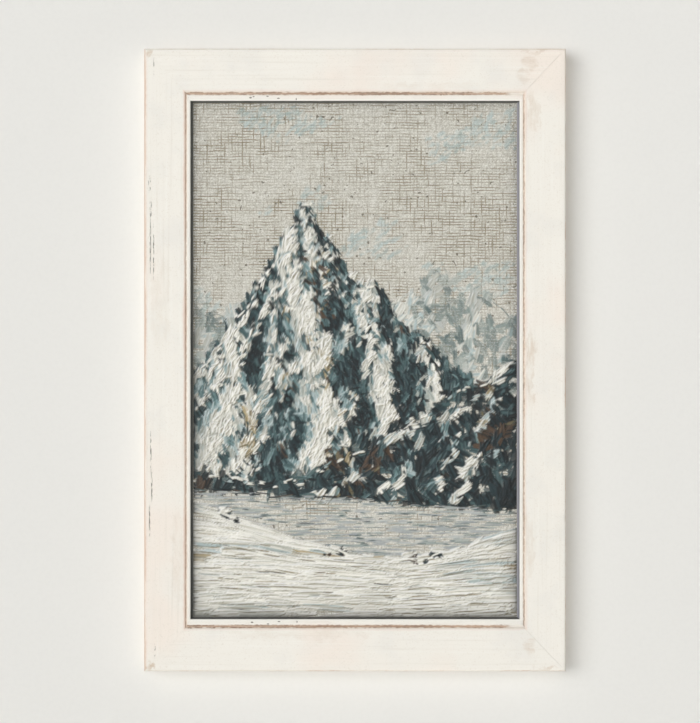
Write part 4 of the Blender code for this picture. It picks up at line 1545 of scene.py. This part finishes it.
ZINC = zinc_plate()
HARDBOARD = hardboard()
PRIMED = primed_board()
FELT = felt()
panel_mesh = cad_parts["picture_panel"].data
panel_mesh.materials.clear()
panel_mesh.materials.append(PRIMED)
print("finishes of the back:", [material.name for material in (ZINC, HARDBOARD, PRIMED, FELT)])

# %% [markdown]
# ### Plates with soft edges
#
# A stamped plate or a sawn board never has a knife edge. The solids of the plates are right in outline, so
# a merged copy of each gets a narrow bevel along its sharp edges, and the copy stands for the solid.

# %% Eased plates
SOLID_WELD = 0.000001  # how near two points of a solid's mesh have to be to become one
BEVEL_WELD = 0.000003


def finish_mesh(shape, name, material):
    """Turns a bmesh into an object with this material, its faces outwards and smooth."""
    mesh = bpy.data.meshes.new(name)
    shape.to_mesh(mesh)
    shape.free()
    mesh.materials.append(material)
    face_outwards(mesh)
    soften(mesh, 35)
    return linked(name, mesh)


def eased_plates(name, nodes, ease, material, slot):
    """One piece from the solids of these nodes, with a bevel along their sharp edges."""
    shape = bmesh.new()
    for node in nodes:
        shape.from_mesh(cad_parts[node].data)
    bmesh.ops.remove_doubles(shape, verts=shape.verts, dist=SOLID_WELD)
    bmesh.ops.dissolve_limit(shape, angle_limit=math.radians(1), verts=shape.verts, edges=shape.edges)
    sharp = [edge for edge in shape.edges if edge.is_manifold and edge.calc_face_angle() > math.radians(40)]
    rounding = {"offset": ease, "segments": 2, "profile": 0.5, "clamp_overlap": True}
    bmesh.ops.bevel(shape, geom=sharp, affect="EDGES", **rounding)
    bmesh.ops.remove_doubles(shape, verts=shape.verts, dist=BEVEL_WELD)
    settle(finish_mesh(shape, name, material), slot, *nodes)


POINTS = [f"point_{side}_{number}" for side in ("left", "right") for number in (1, 2, 3)]
POINTS += [f"point_{side}_{number}" for side in ("bottom", "top") for number in (1, 2)]
eased_plates("framers_points", POINTS, 0.00012, ZINC, "zinc_plated_steel")
eased_plates("stamped_hanger", ["sawtooth_hanger"], 0.00014, ZINC, "zinc_plated_steel")
eased_plates("sawn_backing", ["backing_board"], 0.00030, HARDBOARD, "brown_hardboard")

# %% [markdown]
# ### Turned pieces
#
# The two nails and the bumpers are round, so a profile is swept round an axis that points at the wall. The
# nail's head is domed and struck a little flat.

# %% Nails and bumpers
SHANK_RADIUS = 0.0007


def turned_mesh(name, profile, centre, segments, material):
    """Rings round the Y axis at centre. profile runs from one end to the other as (radius, y)."""
    shape = bmesh.new()
    rings = []
    for radius, y in profile:
        if radius == 0:
            rings.append([shape.verts.new((centre[0], y, centre[1]))] * segments)
            continue
        ring = []
        for i in range(segments):
            turn = 2 * math.pi * i / segments
            place = (centre[0] + radius * math.cos(turn), y, centre[1] + radius * math.sin(turn))
            ring.append(shape.verts.new(place))
        rings.append(ring)
    for ring, following in zip(rings, rings[1:]):
        for i in range(segments):
            j = (i + 1) % segments
            corners = list(dict.fromkeys((ring[i], ring[j], following[j], following[i])))
            shape.faces.new(corners)
    return finish_mesh(shape, name, material)


def middle_of(low, high):
    return (low.x + high.x) / 2, (low.z + high.z) / 2


for side in ("left", "right"):
    low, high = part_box("hanger_nail_" + side)
    head = (high.x - low.x) / 2
    shank = SHANK_RADIUS
    top = high.y
    profile = [(0, top - 0.00003), (head * 0.45, top - 0.00004), (head * 0.72, top - 0.00016)]
    profile += [(head * 0.90, top - 0.00036), (head, top - 0.00062), (head * 0.97, top - 0.00078)]
    profile += [(shank, top - 0.0008), (shank * 0.92, top - 0.004), (shank, low.y + 0.0016), (0, low.y)]
    nail = turned_mesh("nail_" + side, profile, middle_of(low, high), 36, ZINC)
    settle(nail, "zinc_plated_steel", "hanger_nail_" + side)

# %% [markdown]
# Felt is recognised by its fuzz. A tree scatters short hairs over the bumper's round side, each a thin
# three-sided spike that leans its own way, and joins them to the pad. Its flat face stays clear, because
# that is pressed against the wall.

# %% Felt fuzz


def fuzz_tree():
    inputs = {"Hairs For Each Area": "Float", "Hair Length": "Float", "Hair Radius": "Float", "Seed": "Int"}
    tree, sheet, wire = geometry_tree("felt_fuzz", inputs)
    facing = sheet.node("GeometryNodeInputNormal").axes()[1]
    on_side = facing.math("ABSOLUTE").math("LESS_THAN", 0.3)
    sockets = {"Mesh": wire["Geometry"], "Selection": on_side}
    sockets.update({"Density": wire["Hairs For Each Area"], "Seed": wire["Seed"]})
    points = sheet.node("GeometryNodeDistributePointsOnFaces", sockets, "Points")
    ends = {0: (-0.8, -0.5, -0.8), 1: (0.8, 0.5, 0.8)}
    lean = sheet.node("FunctionNodeRandomValue", ends, data_type="FLOAT_VECTOR")
    aim = points.other("Normal").vectors("ADD", lean)
    turn = sheet.node("FunctionNodeAlignRotationToVector", {"Vector": aim}, axis="Z")
    sockets = {"Vertices": 3, "Side Segments": 2, "Radius Top": 0.0}
    sockets.update({"Radius Bottom": wire["Hair Radius"], "Depth": wire["Hair Length"]})
    hair = sheet.node("GeometryNodeMeshCone", sockets, fill_type="NGON")
    sockets = {"Points": points, "Instance": hair, "Rotation": turn}
    placed = sheet.node("GeometryNodeInstanceOnPoints", sockets)
    joined = sheet.node("GeometryNodeJoinGeometry", {0: placed})
    tree.links.new(wire["Geometry"].socket, joined.socket.node.inputs[0])
    end_tree(joined, FELT)
    return tree


PAD_SIDE_ROOM = 0.00015  # for the pad's fuzz inside the solid
PAD_TOP_ROOM = 0.00005
FUZZ_TREE = fuzz_tree()
for seed, side in enumerate(("left", "right")):
    low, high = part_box("bumper_" + side)
    radius = (high.x - low.x) / 2 - PAD_SIDE_ROOM
    top, foot = high.y - PAD_TOP_ROOM, low.y
    profile = [(0, top), (radius - 0.0009, top), (radius - 0.0004, top - 0.0001)]
    profile += [(radius - 0.0001, top - 0.0004), (radius, top - 0.0009), (radius + 0.0001, top - 0.0018)]
    profile += [(radius, foot + 0.0002), (0, foot)]
    pad = turned_mesh("pad_" + side, profile, middle_of(low, high), 48, FELT)
    values = {"Hairs For Each Area": 7e6, "Hair Length": 0.00042, "Hair Radius": 0.00003, "Seed": seed}
    piece = run_tree(pad, FUZZ_TREE, values, "felt_bumper_" + side)
    soften(piece.data, 35)
    settle(piece, "brown_felt", "bumper_" + side)

# %% [markdown]
# Each mitre is glued and held by two thin nails bent to a V, driven flush from behind. The tree bends a
# line to a V, gives it the strip's section and sets one at each point, turned across its own mitre.

# %% Mitre nails
V_SPAN = 0.0100
V_RISE = 0.0034
V_STEEL = 0.00045
V_DEPTH = 0.0070
V_PROUD = 0.00012  # above the wood
V_PLACES = (0.28, 0.80)  # along the mitre, from its outer end to the rabbet


def mitre_nail_tree():
    inputs = {"Span": "Float", "Rise": "Float", "Thickness": "Float", "Depth": "Float"}
    tree, sheet, wire = geometry_tree("mitre_nails", inputs)
    half = wire["Span"] * 0.5
    ends = {"Start": vector(sheet, half * -1, 0, 0), "End": vector(sheet, half, 0, 0)}
    line = sheet.node("GeometryNodeCurvePrimitiveLine", ends)
    line = sheet.node("GeometryNodeResampleCurve", {"Curve": line, "Count": 9})
    share = sheet.node("GeometryNodeSplineParameter", output="Factor")
    rise = (1 - (share * 2 - 1).math("ABSOLUTE")) * wire["Rise"]
    bent = sheet.node("GeometryNodeSetPosition", {"Geometry": line, "Offset": vector(sheet, 0, rise, 0)})
    bent = sheet.node("GeometryNodeSetCurveNormal", {"Curve": bent}, mode="Z_UP")
    sockets = {"Width": wire["Thickness"], "Height": wire["Depth"]}
    strip = sweep(sheet, bent, sheet.node("GeometryNodeCurvePrimitiveQuadrilateral", sockets))
    turn = read(sheet, "turn", "FLOAT_VECTOR")
    sockets = {"Points": wire["Geometry"], "Instance": strip, "Rotation": turn}
    end_tree(sheet.node("GeometryNodeInstanceOnPoints", sockets), ZINC)
    return tree


def mitre_places():
    """Where the mitre nails stand, and how each is turned."""
    places, turns = [], []
    for right in (-1, 1):
        for up in (-1, 1):
            outer = Vector((right * HALF_WIDTH, up * HALF_HEIGHT))
            inner = Vector((right * (HALF_WIDTH - RABBET_SIDE), up * (HALF_HEIGHT - RABBET_CROSS)))
            along = inner - outer
            for share in V_PLACES:
                spot = outer + along * share
                y = BACK_Y + V_PROUD - V_DEPTH / 2
                places.append((spot.x, y, spot.y + CENTRE_Z))
                turns.append((math.pi / 2, math.atan2(along.x, along.y), 0.0))
    return places, turns


MITRE_NAIL_TREE = mitre_nail_tree()
places, turns = mitre_places()
spots = bpy.data.meshes.new("mitre_spots")
spots.from_pydata(places, [], [])
give(spots, "turn", turns, "FLOAT_VECTOR")
values = {"Span": V_SPAN, "Rise": V_RISE, "Thickness": V_STEEL, "Depth": V_DEPTH}
carrier = linked("mitre_spots", spots)
piece = run_tree(carrier, MITRE_NAIL_TREE, values, "mitre_nails")
face_outwards(piece.data)
soften(piece.data, 35)
settle(piece, "zinc_plated_steel")

# %% [markdown]
# ## Stage
#
# The frame hangs on a plain pale wall over a plain pale floor. The wall has one side: from behind it lets
# the eye and the light through, so that the fixings can be looked at too.

# %% Wall and floor
WALL_Y = cad_box[1].y + 0.0006
WALL_REACH = 6.0
WALL_HEIGHT = 5.0
FLOOR_Z = CENTRE_Z - 1.45
FLOOR_SKIN = 0.001  # between the floor and the even tone that the eye sees on it


def stage_plane(name, corners, material):
    mesh = bpy.data.meshes.new(name)
    mesh.from_pydata(corners, [], [(0, 1, 2, 3)])
    mesh.materials.append(material)
    plane = linked(name, mesh)
    return plane


def wall_paint(one_sided):
    material, sheet = new_material("wall_paint" if one_sided else "floor_paint")
    speckle = object_place(sheet).noise(300, 2)
    colour = plain(sheet, 233, 232, 228).coats((229, 228, 224, speckle.ease(0.4, 0.7) * 0.3))
    matt = sheet.node("ShaderNodeBsdfPrincipled", {"Base Color": colour, "Roughness": 0.9})
    if one_sided:
        behind = sheet.node("ShaderNodeNewGeometry", output="Backfacing")
        clear = sheet.node("ShaderNodeBsdfTransparent")
        matt = sheet.node("ShaderNodeMixShader", {0: behind, 1: matt, 2: clear})
    sheet.node("ShaderNodeOutputMaterial", {"Surface": matt})
    return material


def even_pale(name):
    """The same pale tone from end to end, so that no corner of the room shows."""
    material, sheet = new_material(name + "_tone")
    tone_here = screen(214, 213, 209) if name == "floor_top" else screen(226, 225, 221)
    sockets = {"Base Color": screen(0, 0, 0), "Emission Color": tone_here, "Emission Strength": 1.0}
    pale = sheet.node("ShaderNodeBsdfPrincipled", {**sockets, "Roughness": 1.0})
    sheet.node("ShaderNodeOutputMaterial", {"Surface": pale})
    return material


def upright_corners(from_x, from_y, to_x, to_y):
    """The corners of a wall as high as the room, between two points of the floor."""
    low = [(from_x, from_y, FLOOR_Z), (to_x, to_y, FLOOR_Z)]
    return low + [(to_x, to_y, FLOOR_Z + WALL_HEIGHT), (from_x, from_y, FLOOR_Z + WALL_HEIGHT)]


def flat_corners(z):
    """The corners of the room's floor at this height."""
    reach = WALL_REACH
    return [(-reach, -reach, z), (reach, -reach, z), (reach, reach, z), (-reach, reach, z)]


wall = stage_plane("wall", upright_corners(-WALL_REACH, WALL_Y, WALL_REACH, WALL_Y), wall_paint(True))
wall.visible_shadow = False
floor = stage_plane("floor", flat_corners(FLOOR_Z), wall_paint(False))

# The rest of the room only shows behind the frame in other views: no light falls from it.
ROOM_SIDES = {
    "far_wall": upright_corners(WALL_REACH, -WALL_REACH, -WALL_REACH, -WALL_REACH),
    "left_wall": upright_corners(-WALL_REACH, -WALL_REACH, -WALL_REACH, WALL_REACH),
    "right_wall": upright_corners(WALL_REACH, WALL_REACH, WALL_REACH, -WALL_REACH),
    "floor_top": flat_corners(FLOOR_Z + FLOOR_SKIN),
}
for name, corners in ROOM_SIDES.items():
    shown_only = stage_plane(name, corners, even_pale(name))
    shown_only.visible_shadow = False
    shown_only.visible_diffuse = False
    shown_only.visible_glossy = False
print("wall faces", tuple(round(v, 2) for v in wall.data.polygons[0].normal))

# %% [markdown]
# ## Light
#
# The frame is lit the way a shop's wall is: mostly from the front, and softly from the left, so that the
# relief of the paint shows and the shadow falls on the right only. Suns are even over the whole wall, where
# area lamps would leave a bright spot. A wide sun has soft shadows.

# %% Lights


def soft_sun(name, from_left, from_above, spread, strength, behind=False):
    """A sun at these angles off the frame's normal, in degrees. spread is its width as seen from here."""
    light = bpy.data.lights.new(name, "SUN")
    light.energy = strength
    light.angle = math.radians(spread)
    towards = -1 if behind else 1
    left, up = math.radians(from_left), math.radians(from_above)
    travel = Vector((math.sin(left) * math.cos(up), towards * math.cos(left) * math.cos(up), -math.sin(up)))
    linked(name, light).rotation_euler = travel.to_track_quat("-Z", "Y").to_euler()


soft_sun("front_light", -2, 3, 9, 0.72)
soft_sun("left_light", 30, 5, 44, 1.95)
soft_sun("back_light", -20, 25, 40, 1.8, behind=True)

world = bpy.data.worlds.new("pale_room")
world.use_nodes = True
world.node_tree.nodes["Background"].inputs["Color"].default_value = screen(238, 238, 236)
world.node_tree.nodes["Background"].inputs["Strength"].default_value = 0.12
bpy.context.scene.world = world
bpy.context.scene.view_settings.view_transform = "Standard"

# %% Camera
PICTURE_HEIGHT_STEPS = 723
LENS = 120.0
SENSOR = 36.0
IMAGE_MIDDLE = (350.0, 361.5)  # the image's middle in the measuring steps of the face
camera_data = bpy.data.cameras.new("camera")
camera_data.lens = LENS
camera_data.sensor_width = SENSOR
camera_data.dof.use_dof = False
camera = linked("camera", camera_data)
camera_x, camera_z = face_place(*IMAGE_MIDDLE)
away = PICTURE_HEIGHT_STEPS * FACE_STEP * LENS / SENSOR
camera.location = (camera_x, FACE_Y - away, camera_z)
camera.rotation_euler = (math.pi / 2, 0, 0)
bpy.context.scene.camera = camera
print("camera", [round(v, 4) for v in camera.location])
